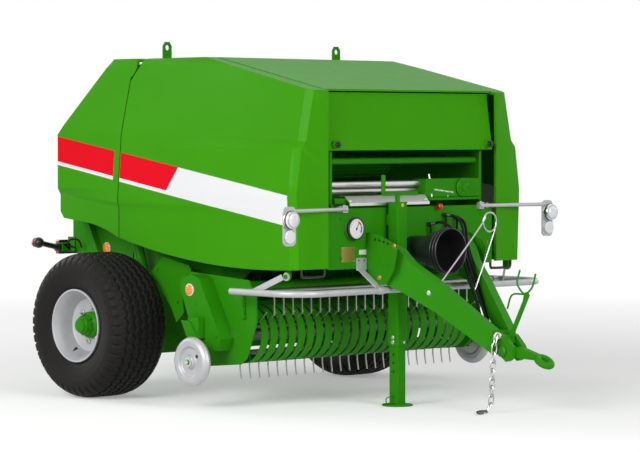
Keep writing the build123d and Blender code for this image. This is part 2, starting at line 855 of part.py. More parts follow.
with BuildPart() as pto_guard:
    with BuildSketch(Plane((PANEL_X + GAP, 0, PTO_Z), x_dir=(1, 0, 0), z_dir=(0, -1, 0))):
        with BuildLine():
            Polyline(
                (0, 80),
                (120, 84),
                (190, 112),
                (311, 131),
                (311, 127),
                (192, 107),
                (122, 79),
                (4, 75),
                (4, 40),
                (0, 40),
                close=True,
            )
        make_face()
    revolve(axis=Axis((0, 0, PTO_Z), (1, 0, 0)))
save(pto_guard.part, "pto_guard")

with BuildPart() as pto_shaft:
    with BuildSketch(across(PANEL_X + GAP)):
        with Locations((0, PTO_Z)):
            Circle(30)
    extrude(amount=60)
    with BuildSketch(across(PANEL_X + 60)):
        with Locations((0, PTO_Z)):
            Circle(PTO_R)
    extrude(amount=110)
save(pto_shaft.part, "pto_shaft")

# ---------------------------------------------------------------- drawbar
with BuildPart() as drawbar_brackets:
    with BuildSketch(side(-DRAW_PLATE_Y)):
        outline(
            stations(
                (1582 + GAP, 830),
                (1582 + GAP, 1012),
                (1680, 1000),
                (1800, 955),
                (1826, 920),
                (1800, 800),
                (1740, 714),
                (1650, 714),
                (1610, 740),
            )
        )
    extrude(amount=DRAW_PLATE_T)
    mirror(about=Plane.XZ)
save(drawbar_brackets.part, "drawbar_brackets")

beam_root = Plane(
    origin=(fwd(1700), -DRAW_PLATE_Y + 34, 840),
    x_dir=(0.42, -0.91, 0),
    z_dir=(0.91, 0.42, 0),
)
# sections of one drawbar beam, columns: station, y, middle height, depth, thickness
BEAM_SECTIONS = (
    (1640, 18 + GAP - DRAW_PLATE_Y, 862, 250, 36),
    (1700, 18 + GAP - DRAW_PLATE_Y, 848, 250, 36),
    (1790, -298, 800, 236, DRAW_BEAM_T),
    (1850, -268, 744, 196, DRAW_BEAM_T),
    (2010, -196, 636, 176, DRAW_BEAM_T),
    (2310, -66, 398, 136, DRAW_BEAM_T),
)
with BuildPart() as drawbar:
    for station, y, z, depth, thick in BEAM_SECTIONS:
        with BuildSketch(Plane((fwd(station), y, z), x_dir=(0, 1, 0), z_dir=(1, 0, 0))):
            Rectangle(thick, depth)
    loft(ruled=True)
    mirror(about=Plane.XZ)
    with Locations((fwd(2283), 0, 410)):
        Box(60, 120, 110)
save(drawbar.part, "drawbar")

with BuildPart() as hitch_block:
    with BuildSketch(side(-30)):
        with BuildLine():
            Polyline(
                (fwd(2313) + GAP, 380),
                (fwd(2313) + GAP, 455),
                (fwd(2360), 440),
                (HITCH_X + 62, HITCH_Z + 36),
            )
            ThreePointArc((HITCH_X + 62, HITCH_Z + 36), (HITCH_X + 72, HITCH_Z - 16), (HITCH_X + 24, HITCH_Z - 58))
            Polyline((HITCH_X + 24, HITCH_Z - 58), (fwd(2313) + GAP, 340), (fwd(2313) + GAP, 380))
        make_face()
    extrude(amount=34)
    mirror(about=Plane.XZ)
    with Locations((fwd(2338) + GAP, 0, 416)):
        Box(50, 62, 46)
    with BuildSketch(side(72)):
        with Locations((HITCH_X, HITCH_Z)):
            Circle(14)
    extrude(amount=144)
save(hitch_block.part, "hitch_block")

EYE_TILT = 32.0
EYE_BORE_R = 25.0
EYE_BORE_LENGTH = 26.0
with BuildPart() as towing_eye:
    eye_plane = Plane(origin=(EYE_X, 0, EYE_Z), z_dir=(math.sin(math.radians(EYE_TILT)), 0, math.cos(math.radians(EYE_TILT))))
    with Locations(eye_plane):
        Torus(43, 19)
        Cylinder(EYE_BORE_R + 6, EYE_BORE_LENGTH)
    with BuildSketch(across(HITCH_X + 88)):
        with Locations((0, HITCH_Z - 6)):
            RectangleRounded(58, 66, 10)
    with BuildSketch(across(EYE_X - 42)):
        with Locations((0, EYE_Z + 22)):
            RectangleRounded(52, 34, 10)
    loft()
    with BuildSketch(side(30 - GAP)):
        with Locations((HITCH_X, HITCH_Z)):
            Circle(34)
        with Locations((HITCH_X + 50, HITCH_Z - 4)):
            Rectangle(100, 60)
        with Locations((HITCH_X, HITCH_Z)):
            Circle(14 + GAP, mode=Mode.SUBTRACT)
    extrude(amount=2 * (30 - GAP))
    with Locations(eye_plane):
        Cylinder(EYE_BORE_R, 3 * EYE_BORE_LENGTH, mode=Mode.SUBTRACT)
save(towing_eye.part, "towing_eye")

# ---------------------------------------------------------------- jack
with BuildPart() as jack_tube:
    with BuildSketch(Plane.XY.offset(JACK_SPLIT_Z)):
        with Locations((JACK_X, JACK_Y)):
            RectangleRounded(JACK_SIDE, JACK_SIDE, 8)
            Rectangle(JACK_SIDE - 12, JACK_SIDE - 12, mode=Mode.SUBTRACT)
    extrude(amount=JACK_TOP - JACK_SPLIT_Z)
    with BuildSketch(Plane.XY.offset(JACK_TOP)):
        with Locations((JACK_X, JACK_Y)):
            Rectangle(JACK_SIDE, JACK_SIDE)
    extrude(amount=8)
    for z in (860, 1080):
        with Locations((PANEL_X + (JACK_X - JACK_SIDE / 2 - PANEL_X) / 2 + GAP / 2, JACK_Y, z)):
            Box(JACK_X - JACK_SIDE / 2 - PANEL_X - GAP, 60, 60)
save(jack_tube.part, "jack_tube")

JACK_INNER = JACK_SIDE - 13.0
with BuildPart() as jack_foot:
    with BuildSketch(Plane.XY.offset(10)):
        with Locations((JACK_X, JACK_Y)):
            Rectangle(JACK_INNER, JACK_INNER)
    extrude(amount=890)
    with BuildSketch(Plane.XY):
        with Locations((JACK_X, JACK_Y)):
            Circle(90)
    extrude(amount=10)
save(jack_foot.part, "jack_foot")

CRANK_Z = JACK_TOP + 8
with BuildPart() as jack_crank:
    with BuildSketch(Plane.XY.offset(CRANK_Z + GAP)):
        with Locations((JACK_X, JACK_Y)):
            Circle(14)
    extrude(amount=40)
    with Locations((JACK_X, JACK_Y + 18, CRANK_Z + 48)):
        Box(12, 290, 24)
    with BuildSketch(Plane.XY.offset(CRANK_Z + 58)):
        with Locations((JACK_X, JACK_Y - 118)):
            Circle(13)
    extrude(amount=100)
save(jack_crank.part, "jack_crank")

# ---------------------------------------------------------------- pickup
BAND_FIELD = (BAND_COUNT - 1) / 2 * BAND_PITCH
with BuildPart() as pickup_bands:
    for index in range(BAND_COUNT):
        band_y = index * BAND_PITCH - BAND_FIELD
        with BuildSketch(side(band_y + BAND_W / 2)):
            with BuildLine():
                inner = BAND_R - BAND_T
                Line((fwd(BAND_REAR), REEL_Z + BAND_R), (REEL_X, REEL_Z + BAND_R))
                ThreePointArc(
                    (REEL_X, REEL_Z + BAND_R), (REEL_X + BAND_R, REEL_Z), (REEL_X, REEL_Z - BAND_R)
                )
                Polyline(
                    (REEL_X, REEL_Z - BAND_R),
                    (fwd(BAND_REAR), REEL_Z - BAND_R),
                    (fwd(BAND_REAR), REEL_Z - inner),
                    (REEL_X, REEL_Z - inner),
                )
                ThreePointArc((REEL_X, REEL_Z - inner), (REEL_X + inner, REEL_Z), (REEL_X, REEL_Z + inner))
                Polyline(
                    (REEL_X, REEL_Z + inner),
                    (fwd(BAND_REAR), REEL_Z + inner),
                    (fwd(BAND_REAR), REEL_Z + BAND_R),
                )
            make_face()
        extrude(amount=BAND_W)
    # cross members that carry the bands
    for z in (REEL_Z + BAND_R - 30, REEL_Z - BAND_R + 2):
        with Locations((fwd(BAND_REAR - 6), 0, z + 14)):
            Box(28, 2 * (SHIELD_IN - GAP), 30)
save(pickup_bands.part, "pickup_bands")

shield_points = stations(
    (600, 660),
    (690, 772),
    (1190, 741),
    (1250, 650),
    (1254, 505),
    (1172, 292),
    (1120, 252),
    (840, 226),
    (780, 280),
)
guard_points = stations(
    (745, 740),
    (804, 765),
    (876, 745),
    (1065, 400),
    (1027, 329),
    (880, 329),
    (828, 409),
    (716, 672),
    (716, 705),
)
with BuildPart() as pickup_shields:
    with BuildSketch(side(-SHIELD_IN)):
        outline(shield_points)
        with Locations((PIVOT_X, PIVOT_Z)):
            Circle(52)
            Circle(PIVOT_R + RUNNING, mode=Mode.SUBTRACT)
        with Locations((REEL_X, REEL_Z)):
            Circle(PIVOT_R + RUNNING, mode=Mode.SUBTRACT)
    extrude(amount=SHIELD_T)
    with BuildSketch(side(-SHIELD_IN - SHIELD_T)):
        outline(guard_points)
    extrude(amount=GUARD_OUT - SHIELD_IN - SHIELD_T)
    # gauge wheel arm and its stub axle
    with BuildSketch(side(-GUARD_OUT)):
        outline(stations((840, 520), (930, 520), (930, 400), (840, 400)))
    extrude(amount=52)
    with BuildSketch(side(-GUARD_OUT - 52)):
        outline(
            stations(
                (790, 500),
                (862, 500),
                (1008, GAUGE_Z + 20),
                (1008, GAUGE_Z - 30),
                (940, GAUGE_Z - 40),
            )
        )
    extrude(amount=12)
    with BuildSketch(side(-GUARD_OUT - 64)):
        with Locations((GAUGE_X, GAUGE_Z)):
            Circle(16)
    extrude(amount=GAUGE_Y + GAUGE_W / 2 + 14 - GUARD_OUT - 64)
    mirror(about=Plane.XZ)
    with BuildSketch(side(SHIELD_IN)):
        with Locations((fwd(1100), 700)):
            Circle(28)
    extrude(amount=2 * SHIELD_IN)
save(pickup_shields.part, "pickup_shields")

# gusset plates beside the wheels, on outriggers from the walls
with BuildPart() as gussets:
    with BuildSketch(side(-WALL_OUT - GAP)):
        with Locations((fwd(420), 640)):
            RectangleRounded(70, 70, 6)
    extrude(amount=838 - WALL_OUT - GAP)
    with BuildSketch(side(-838)):
        outline(
            stations(
                (322, 847),
                (216, 749),
                (396, 546),
                (445, 459),
                (511, 521),
                (489, 672),
                (590, 745),
                (560, 800),
            )
        )
    extrude(amount=8)
    mirror(about=Plane.XZ)
save(gussets.part, "gussets")

# tined reel: shaft, end stars, bars and curved tines
tine_row_count = 3
with BuildPart() as pickup_reel:
    with BuildSketch(side(SHIELD_IN + SHIELD_T)):
        with Locations((REEL_X, REEL_Z)):
            Circle(PIVOT_R)
    extrude(amount=2 * (SHIELD_IN + SHIELD_T))
    with BuildSketch(side(SHIELD_IN - CLEAR)):
        with Locations((REEL_X, REEL_Z)):
            Circle(38)
    extrude(amount=2 * (SHIELD_IN - CLEAR))
    for row in range(tine_row_count):
        degrees = -92 + row * 360 / tine_row_count
        with BuildSketch(side(SHIELD_IN - CLEAR)):
            with Locations(on_ring(REEL_X, REEL_Z, BAR_RING, degrees)):
                Circle(BAR_R)
        extrude(amount=2 * (SHIELD_IN - CLEAR))
        for index in range(BAND_COUNT + 1):
            tine_y = (index - BAND_COUNT / 2) * BAND_PITCH
            with BuildSketch(side(tine_y + TINE_W / 2)):
                outline(
                    [
                        on_ring(REEL_X, REEL_Z, BAR_RING, degrees - 2),
                        on_ring(REEL_X, REEL_Z, BAR_RING, degrees + 2),
                        on_ring(REEL_X, REEL_Z, 200, degrees + 2.2),
                        on_ring(REEL_X, REEL_Z, TINE_R, degrees + 4.4),
                        on_ring(REEL_X, REEL_Z, TINE_R - 2, degrees + 3.0),
                        on_ring(REEL_X, REEL_Z, 200, degrees + 0.2),
                    ]
                )
            extrude(amount=TINE_W)
    for end in (-1, 0, 1):
        with BuildSketch(side(end * (SHIELD_IN - CLEAR - 6) + 6)):
            with Locations((REEL_X, REEL_Z)):
                Circle(BAR_RING + BAR_R + 6)
        extrude(amount=12)
save(pickup_reel.part, "pickup_reel")

for sign, hand in ((-1, "right"), (1, "left")):
    gauge_plane = Plane(origin=(GAUGE_X, sign * GAUGE_Y, GAUGE_Z), x_dir=(1, 0, 0), z_dir=(0, 0, 1))
    half = GAUGE_W / 2
    # gauge wheel section, columns: y outboard of its middle plane, radius
    gauge_section = (
        (-half + 14, 16 + RUNNING),
        (half - 2, 16 + RUNNING),
        (half - 2, 30),
        (half - 22, 44),
        (half - 20, 78),
        (half - 4, 92),
        (half - 2, 118),
        (half - 12, 136),
        (0, GAUGE_R),
        (-half + 12, 136),
        (-half + 2, 118),
        (-half + 4, 90),
        (-half + 14, 80),
    )
    with BuildPart() as gauge_wheel:
        with BuildSketch(gauge_plane):
            outline([(radius, sign * y) for y, radius in gauge_section])
        revolve(axis=Axis((GAUGE_X, 0, GAUGE_Z), (0, 1, 0)))
    save(gauge_wheel.part, f"gauge_wheel_{hand}")

# ---------------------------------------------------------------- crop guard hoop
with BuildPart() as crop_guard:
    with BuildLine() as hoop_line:
        FilletPolyline(
            (HOOP_REAR, -HOOP_Y, HOOP_Z),
            (HOOP_FRONT, -HOOP_Y, HOOP_Z),
            (HOOP_FRONT, HOOP_Y, HOOP_Z),
            (HOOP_REAR, HOOP_Y, HOOP_Z),
            radius=HOOP_BEND,
        )
    with BuildSketch(Plane((HOOP_REAR, -HOOP_Y, HOOP_Z), x_dir=(0, 1, 0), z_dir=(1, 0, 0))):
        Circle(HOOP_R)
    sweep(path=hoop_line.line)
    # sockets for the ends of the comb's bar
    for sign in (-1, 1):
        with BuildSketch(side(sign * (HOOP_Y - 31) + 25)):
            with Locations((COMB_X, HOOP_Z)):
                Circle(COMB_R + 6)
        extrude(amount=50)
        with BuildSketch(side(sign * (HOOP_Y - 38) + 18)):
            with Locations((COMB_X, HOOP_Z)):
                Circle(COMB_R + RUNNING)
        extrude(amount=36, mode=Mode.SUBTRACT)
    # flat struts up to the pivots
    for sign in (-1, 1):
        foot = Vector(fwd(1340), sign * (HOOP_Y - 4), HOOP_Z)
        head = Vector(HOOP_PIVOT_X - 24, sign * (HOOP_PIVOT_Y + 6), HOOP_PIVOT_Z - 2)
        run = head - foot
        with BuildSketch(Plane(origin=foot, x_dir=run, z_dir=run.cross(Vector(0, 0, 1)))):
            with Locations((run.length / 2, 0)):
                Rectangle(run.length, 34)
        extrude(amount=4, both=True)
        with BuildSketch(side(sign * HOOP_PIVOT_Y + 4)):
            with Locations((HOOP_PIVOT_X, HOOP_PIVOT_Z)):
                Circle(24)
                Circle(HOOP_PIVOT_R + RUNNING, mode=Mode.SUBTRACT)
        extrude(amount=8)
save(crop_guard.part, "crop_guard")

# comb of hold-down rods under a bar that turns in the hoop's sockets
COMB_HALF = HOOP_Y - 22.0
with BuildPart() as crop_comb:
    with BuildSketch(side(COMB_HALF)):
        with Locations((COMB_X, HOOP_Z)):
            Circle(COMB_R)
    extrude(amount=2 * COMB_HALF)
    for index in range(BAND_COUNT):
        rod_y = (index - (BAND_COUNT - 1) / 2) * BAND_PITCH
        with Locations((COMB_X, rod_y, (COMB_Z + HOOP_Z) / 2)):
            Box(8, 8, HOOP_Z - COMB_Z)
save(crop_comb.part, "crop_comb")

# outriggers with a lug and a pin for each strut
LUG_Y = HOOP_PIVOT_Y - 4 - CLEAR
with BuildPart() as guard_brackets:
    with BuildSketch(side(-WALL_OUT - GAP)):
        with Locations((HOOP_PIVOT_X, 838)):
            RectangleRounded(46, 46, 5)
    extrude(amount=LUG_Y - WALL_OUT - GAP)
    with BuildSketch(side(-LUG_Y + 10)):
        with Locations((HOOP_PIVOT_X, HOOP_PIVOT_Z)):
            Circle(22)
        with Locations((HOOP_PIVOT_X, HOOP_PIVOT_Z + 44)):
            Rectangle(44, 88)
    extrude(amount=10)
    with BuildSketch(side(-LUG_Y)):
        with Locations((HOOP_PIVOT_X, HOOP_PIVOT_Z)):
            Circle(HOOP_PIVOT_R)
    extrude(amount=HOOP_PIVOT_Y + 12 - LUG_Y)
    mirror(about=Plane.XZ)
save(guard_brackets.part, "guard_brackets")

# ---------------------------------------------------------------- tailgate cylinders
lift_run = (LIFT_EYE[0] - LIFT_FOOT[0], LIFT_EYE[1] - LIFT_FOOT[1])
lift_length = math.hypot(*lift_run)
lift_along = (lift_run[0] / lift_length, 0, lift_run[1] / lift_length)
BARREL_LENGTH = 880.0
ROD_LENGTH = 690.0
for sign, hand in ((-1, "right"), (1, "left")):
    foot = (LIFT_FOOT[0], sign * LIFT_Y, LIFT_FOOT[1])
    eye = (LIFT_EYE[0], sign * LIFT_Y, LIFT_EYE[1])
    barrel_plane = Plane(origin=foot, x_dir=(0, 1, 0), z_dir=lift_along)
    with BuildPart() as lift_barrel:
        with BuildSketch(barrel_plane.offset(36)):
            Circle(LIFT_BARREL_R)
        extrude(amount=BARREL_LENGTH - 36)
        with BuildSketch(side(foot[1] + 16)):
            with Locations(LIFT_FOOT):
                Circle(38)
        extrude(amount=32)
        with BuildSketch(side(foot[1] + 16)):
            with Locations(LIFT_FOOT):
                Circle(20 + RUNNING)
        extrude(amount=32, mode=Mode.SUBTRACT)
        with BuildSketch(barrel_plane.offset(60)):
            Circle(LIFT_ROD_R + RUNNING)
        extrude(amount=BARREL_LENGTH, mode=Mode.SUBTRACT)
    save(lift_barrel.part, f"lift_barrel_{hand}")

    with BuildPart() as lift_rod:
        with BuildSketch(barrel_plane.offset(lift_length - ROD_LENGTH)):
            Circle(LIFT_ROD_R)
        extrude(amount=ROD_LENGTH - 24)
        with BuildSketch(side(eye[1] + 16)):
            with Locations(LIFT_EYE):
                Circle(34)
        extrude(amount=32)
        with BuildSketch(side(eye[1] + 16)):
            with Locations(LIFT_EYE):
                Circle(20)
        extrude(amount=32, mode=Mode.SUBTRACT)
    save(lift_rod.part, f"lift_rod_{hand}")
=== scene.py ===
"""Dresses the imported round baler: paint, tread, fasteners, stripes, hoses, lamps, and a plain pale studio.

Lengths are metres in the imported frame: +X forward along the drawbar, +Y to the machine's left, +Z up.
"""

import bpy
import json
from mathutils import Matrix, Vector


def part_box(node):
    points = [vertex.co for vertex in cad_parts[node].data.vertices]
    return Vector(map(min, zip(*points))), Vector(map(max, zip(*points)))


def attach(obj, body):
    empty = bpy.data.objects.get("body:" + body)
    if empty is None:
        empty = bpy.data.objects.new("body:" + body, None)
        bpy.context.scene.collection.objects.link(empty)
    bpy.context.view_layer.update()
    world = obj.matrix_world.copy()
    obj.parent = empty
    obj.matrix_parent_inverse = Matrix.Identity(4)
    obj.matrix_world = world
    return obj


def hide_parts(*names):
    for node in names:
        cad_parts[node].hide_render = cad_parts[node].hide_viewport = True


bl_info = {
    "name": "Round baler finishing",
    "version": (1, 0, 0),
    "blender": (4, 5, 0),
    "location": "View3D > Sidebar > Baler",
    "description": "Finishes a round baler: paint, tread, fasteners, stripes, hoses, lamps and a studio",
    "category": "Object",
}

import json
import math

import bmesh
import bpy
import numpy as np
from bpy.props import FloatProperty, FloatVectorProperty, IntProperty, PointerProperty
from mathutils import Vector

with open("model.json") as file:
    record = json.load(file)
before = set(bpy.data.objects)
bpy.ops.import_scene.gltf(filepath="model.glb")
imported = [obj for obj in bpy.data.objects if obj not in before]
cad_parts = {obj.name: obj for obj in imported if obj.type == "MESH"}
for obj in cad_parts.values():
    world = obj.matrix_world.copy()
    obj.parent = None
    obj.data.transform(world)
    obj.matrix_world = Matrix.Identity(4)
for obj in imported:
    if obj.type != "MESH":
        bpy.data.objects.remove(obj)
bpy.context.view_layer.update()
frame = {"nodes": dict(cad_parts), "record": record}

AXLE_X = (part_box("tyre_right")[0][0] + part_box("tyre_right")[1][0]) / 2
FORWARD, LEFT, UP = np.eye(3)
SIDES = (("right", -1.0), ("left", 1.0))


# ---------------------------------------------------------------- settings
class BalerSizes(bpy.types.PropertyGroup):
    """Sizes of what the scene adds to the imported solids."""

    lip: FloatProperty(
        name="Cover lip", description="Rounding of the covers' outer corners", default=0.015, unit="LENGTH"
    )
    groove: FloatProperty(
        name="Tread depth", description="Depth of the tyre's grooves", default=0.015, unit="LENGTH"
    )
    hose: FloatProperty(name="Hose", description="Radius of the three hoses", default=0.0085, unit="LENGTH")
    ribs: IntProperty(name="Tread waves", description="Waves of each groove round the tyre", default=44)


class BalerColours(bpy.types.PropertyGroup):
    """Paint colours, linear."""

    body: FloatVectorProperty(
        name="Covers", description="Paint of the covers", subtype="COLOR", default=(0.050, 0.345, 0.001)
    )
    frame: FloatVectorProperty(
        name="Frame", description="Paint of the frame", subtype="COLOR", default=(0.03, 0.27, 0.004)
    )
    red: FloatVectorProperty(
        name="Red stripe", description="Red of the stripe", subtype="COLOR", default=(0.83, 0.0, 0.012)
    )
    white: FloatVectorProperty(
        name="White stripe", description="White of the stripe", subtype="COLOR", default=(0.86, 0.86, 0.88)
    )
    silver: FloatVectorProperty(
        name="Silver", description="Paint of the wheels and hoop", subtype="COLOR", default=(0.55, 0.55, 0.57)
    )


class BalerStudio(bpy.types.PropertyGroup):
    """The camera's place and the light."""

    lens: FloatProperty(name="Lens", description="Focal length on a 36 mm sensor", default=157.0)
    camera: FloatVectorProperty(
        name="Camera",
        description="Where the camera stands",
        subtype="TRANSLATION",
        default=(12.0706, -11.7743, 1.6078),
    )
    azimuth: FloatProperty(name="Azimuth", description="Degrees round the machine", default=45.946)
    pitch: FloatProperty(name="Pitch", description="Degrees below the horizon", default=1.987)
    key: FloatProperty(name="Key light", description="Power of the large soft lamp", default=560.0)
    sky: FloatProperty(name="Sky", description="Strength of the light from all round", default=0.22)


# ---------------------------------------------------------------- shader maths
class Value:
    """A number that varies over a surface. Arithmetic on it adds Math nodes to its shader."""

    def __init__(self, shader, socket):
        self.shader = shader
        self.socket = socket

    def maths(self, operation, *others):
        return self.shader.node("Math", {"operation": operation}, self, *others)

    def __add__(self, other):
        return self.maths("ADD", other)

    __radd__ = __add__

    def __sub__(self, other):
        return self.maths("SUBTRACT", other)

    def __rsub__(self, other):
        return self.shader.node("Math", {"operation": "SUBTRACT"}, other, self)

    def __mul__(self, other):
        return self.maths("MULTIPLY", other)

    __rmul__ = __mul__

    def __truediv__(self, other):
        return self.maths("DIVIDE", other)

    def above(self, other):
        return self.maths("GREATER_THAN", other)

    def below(self, other):
        return self.maths("LESS_THAN", other)

    def clamp(self):
        return self.shader.node("Clamp", {}, self)


class Shader:
    """A node tree built in code: node() adds any node and fills its sockets."""

    def __init__(self, tree):
        self.tree = tree

    def node(self, kind, settings, *values, out=0, sockets=None, **named):
        """Adds a node, sets its settings, then fills its sockets by order, by number and by name."""
        node = self.tree.nodes.new("ShaderNode" + kind)
        for name, value in settings.items():
            setattr(node, name, value)
        pairs = list(zip(node.inputs, values))
        pairs += [(node.inputs[number], value) for number, value in (sockets or {}).items()]
        pairs += [(node.inputs[name.replace("_", " ")], value) for name, value in named.items()]
        for socket, value in pairs:
            self.fill(socket, value)
        return Value(self, node.outputs[out]) if node.outputs else None

    def fill(self, socket, value):
        if isinstance(value, Value):
            self.tree.links.new(value.socket, socket)
        elif socket.type == "RGBA" and len(value) == 3:
            socket.default_value = (*value, 1.0)
        else:
            socket.default_value = value

    def place(self, axis):
        """One coordinate of the surface point, in metres."""
        coords = self.node("TexCoord", {}, out=3)
        return self.node("SeparateXYZ", {}, coords, out=axis)

    def noise(self, scale, detail=3.0, roughness=0.5):
        """Cloudy noise from 0 to 1 with features about 1 / scale metres wide."""
        coords = self.node("TexCoord", {}, out=3)
        return self.node("TexNoise", {}, Vector=coords, Scale=scale, Detail=detail, Roughness=roughness)

    def mix(self, factor, low, high):
        """Colour low where factor is 0, high where it is 1."""
        return self.node("Mix", {"data_type": "RGBA"}, out=2, sockets={0: factor, 6: low, 7: high})

    def seen(self):
        """1 for the rays by which the camera, gloss and glass see the white surroundings, else 0."""
        rays = self.node("LightPath", {}).socket.node.outputs
        kinds = [Value(self, rays[f"Is {kind} Ray"]) for kind in ("Camera", "Glossy", "Transmission")]
        return (kinds[0] + kinds[1] + kinds[2]).clamp()


class Finish(Shader):
    """A material built in code: put() fills a socket of its surface shader."""

    def __init__(self, name, **sockets):
        self.material = bpy.data.materials.new(name)
        self.material.use_nodes = True
        super().__init__(self.material.node_tree)
        self.shader = next(n for n in self.tree.nodes if n.type == "BSDF_PRINCIPLED")
        for socket, value in sockets.items():
            self.put(socket.replace("_", " "), value)

    def put(self, socket, value):
        self.fill(self.shader.inputs[socket], value)

    def bump(self, height, depth):
        """Normal bent as if the surface stood out by height times depth, in metres."""
        self.put("Normal", self.node("Bump", {}, Height=height, Distance=depth, Strength=1.0))

    def waves(self, axis, rate):
        """Sine of one coordinate times the rate."""
        return (self.place(axis) * rate).maths("SINE")


def paint(name, colour, roughness=0.42, coat=0.04, ripple=0.00012):
    """Sprayed gloss paint: slow colour drift, fine orange peel, a clear top coat."""
    finish = Finish(name, Coat_Weight=coat, Coat_Roughness=0.07, Specular_IOR_Level=0.05)
    drift = finish.noise(2.2, 4.0)
    dark = tuple(c * 0.86 for c in colour)
    finish.put("Base Color", finish.mix(drift, dark, colour))
    grime = finish.noise(9.0, 5.0, 0.65)
    finish.put("Roughness", roughness - 0.06 + grime * 0.12)
    finish.bump(finish.noise(240.0, 2.0), ripple)
    return finish


def metal(name, colour, roughness, streak=60.0, metallic=1.0):
    """Plated or bare steel: fine streaks in roughness and height."""
    finish = Finish(name, Metallic=metallic)
    cloud = finish.noise(14.0, 4.0)
    finish.put("Base Color", finish.mix(cloud, tuple(c * 0.8 for c in colour), colour))
    grain = finish.noise(streak, 6.0, 0.7)
    finish.put("Roughness", roughness - 0.08 + grain * 0.16)
    finish.bump(grain, 0.0002)
    return finish


def rubber(name, colour, roughness=0.62, shine=0.1):
    """Moulded rubber: soft mottling and a fine pitted skin."""
    finish = Finish(name, Specular_IOR_Level=shine)
    mottle = finish.noise(30.0, 5.0, 0.6)
    finish.put("Base Color", finish.mix(mottle, tuple(c * 0.6 for c in colour), colour))
    finish.put("Roughness", roughness - 0.1 + mottle * 0.2)
    finish.bump(finish.noise(500.0, 3.0), 0.0004)
    return finish


def lens(name, colour, glow=0.0):
    """Moulded lens: a grid of small prisms under a gloss skin. A glow above 0 adds painted light: the lens
    glows in its own colour.
    """
    finish = Finish(name, Roughness=0.12, Coat_Weight=1.0, Coat_Roughness=0.03)
    finish.put("Base Color", colour)
    finish.bump(finish.waves(1, 520.0) * finish.waves(2, 520.0), 0.0012)
    # painted glow: emission of the lens's own colour, for lenses that are no lamp
    if glow:
        finish.put("Emission Color", colour)
        finish.put("Emission Strength", glow)
    return finish


def ribbed(name, colour):
    """Hose rubber: a fine cloth print under a dull skin."""
    finish = rubber(name, colour, 0.5)
    finish.bump(finish.waves(0, 2600.0) * finish.waves(2, 2600.0), 0.0003)
    return finish


def backed_lens(name, colour, front):
    """Lens colour behind the given X and black housing ahead of it."""
    finish = lens(name, colour)
    finish.put("Base Color", finish.mix(finish.place(0).above(front), colour, (0.015, 0.015, 0.016)))
    return finish


# middle of the gauge: millimetres to the left and above the ground
DIAL_CENTRE = (-500, 1037)


def dial(name):
    """White dial with a red arc on its upper right and a blue one on its right, worked out from the angle."""
    finish = Finish(name, Roughness=0.3, Coat_Weight=1.0, Coat_Roughness=0.02)
    across = finish.place(1) - DIAL_CENTRE[0] / 1000
    up = finish.place(2) - DIAL_CENTRE[1] / 1000
    out = (across * across + up * up).maths("SQRT")
    angle = up.maths("ARCTAN2", across)
    band = out.above(0.034) * out.below(0.046)
    ticks = (angle * 18.0).maths("SINE").above(0.86) * out.above(0.040) * out.below(0.050)
    ticks = ticks * angle.above(-0.9)
    blue = band * angle.above(-0.6) * angle.below(0.35)
    red = band * angle.above(0.45) * angle.below(1.25)
    colour = finish.mix(ticks, (0.82, 0.82, 0.80), (0.03, 0.03, 0.03))
    colour = finish.mix(blue, colour, (0.02, 0.12, 0.5))
    finish.put("Base Color", finish.mix(red, colour, (0.75, 0.01, 0.01)))
    return finish


# stripe on the covers' sides, in metres: the fall of its top edge per metre ahead, the height of that edge
# at the axle, the depth of red and white together, and where it begins beside and ends along the machine
STRIPE_SLOPE = 0.1576
STRIPE_TOP = 1.4745
STRIPE_DEPTH = 0.175
STRIPE_HALF_WIDTH = 0.80
STRIPE_REAR = -0.5595
STRIPE_FRONT = 1.533
# its red part: depth, end at the top edge ahead of the axle, and that end's lean
RED_DEPTH = 0.153
RED_END = 0.578
RED_SLANT = 0.62
# the bare lip of the tail's cover, which the stripe leaves out
LIP_REAR = -0.016
LIP_FRONT = 0.045


def striped_paint(name, body, red, white):
    """Cover paint with a slanted stripe on both sides.

    The stripe lies between lines z = height - slope * distance ahead of the axle. Its red upper part ends
    on a line that leans back as it goes down.
    """
    finish = paint(name, body)
    plain = Value(finish, finish.shader.inputs["Base Color"].links[0].from_socket)
    ahead = finish.place(0) - AXLE_X
    height = finish.place(2)
    drop = ahead * STRIPE_SLOPE
    inside = finish.place(1).maths("ABSOLUTE").above(STRIPE_HALF_WIDTH)
    inside = inside * ahead.below(STRIPE_FRONT) * ahead.above(STRIPE_REAR)
    inside = inside * (1 - ahead.above(LIP_REAR) * ahead.below(LIP_FRONT))
    stripe = height.below(STRIPE_TOP - drop) * height.above(STRIPE_TOP - STRIPE_DEPTH - drop) * inside
    under_top = (height - (STRIPE_TOP - drop)) * -1
    red_end = ahead.below(RED_END - under_top * RED_SLANT)
    red_part = height.above(STRIPE_TOP - RED_DEPTH - drop) * red_end * stripe
    with_white = finish.mix(stripe, plain, white)
    finish.put("Base Color", finish.mix(red_part, with_white, red))
    return finish


# ---------------------------------------------------------------- meshes
def places(rows):
    """Array of points from rows in millimetres: ahead of the wheel axle, to the left, above the ground."""
    return np.array(rows, float) / 1000 + [AXLE_X, 0.0, 0.0]


def at(ahead, left, up):
    """One point, in the same terms."""
    return places([(ahead, left, up)])[0]


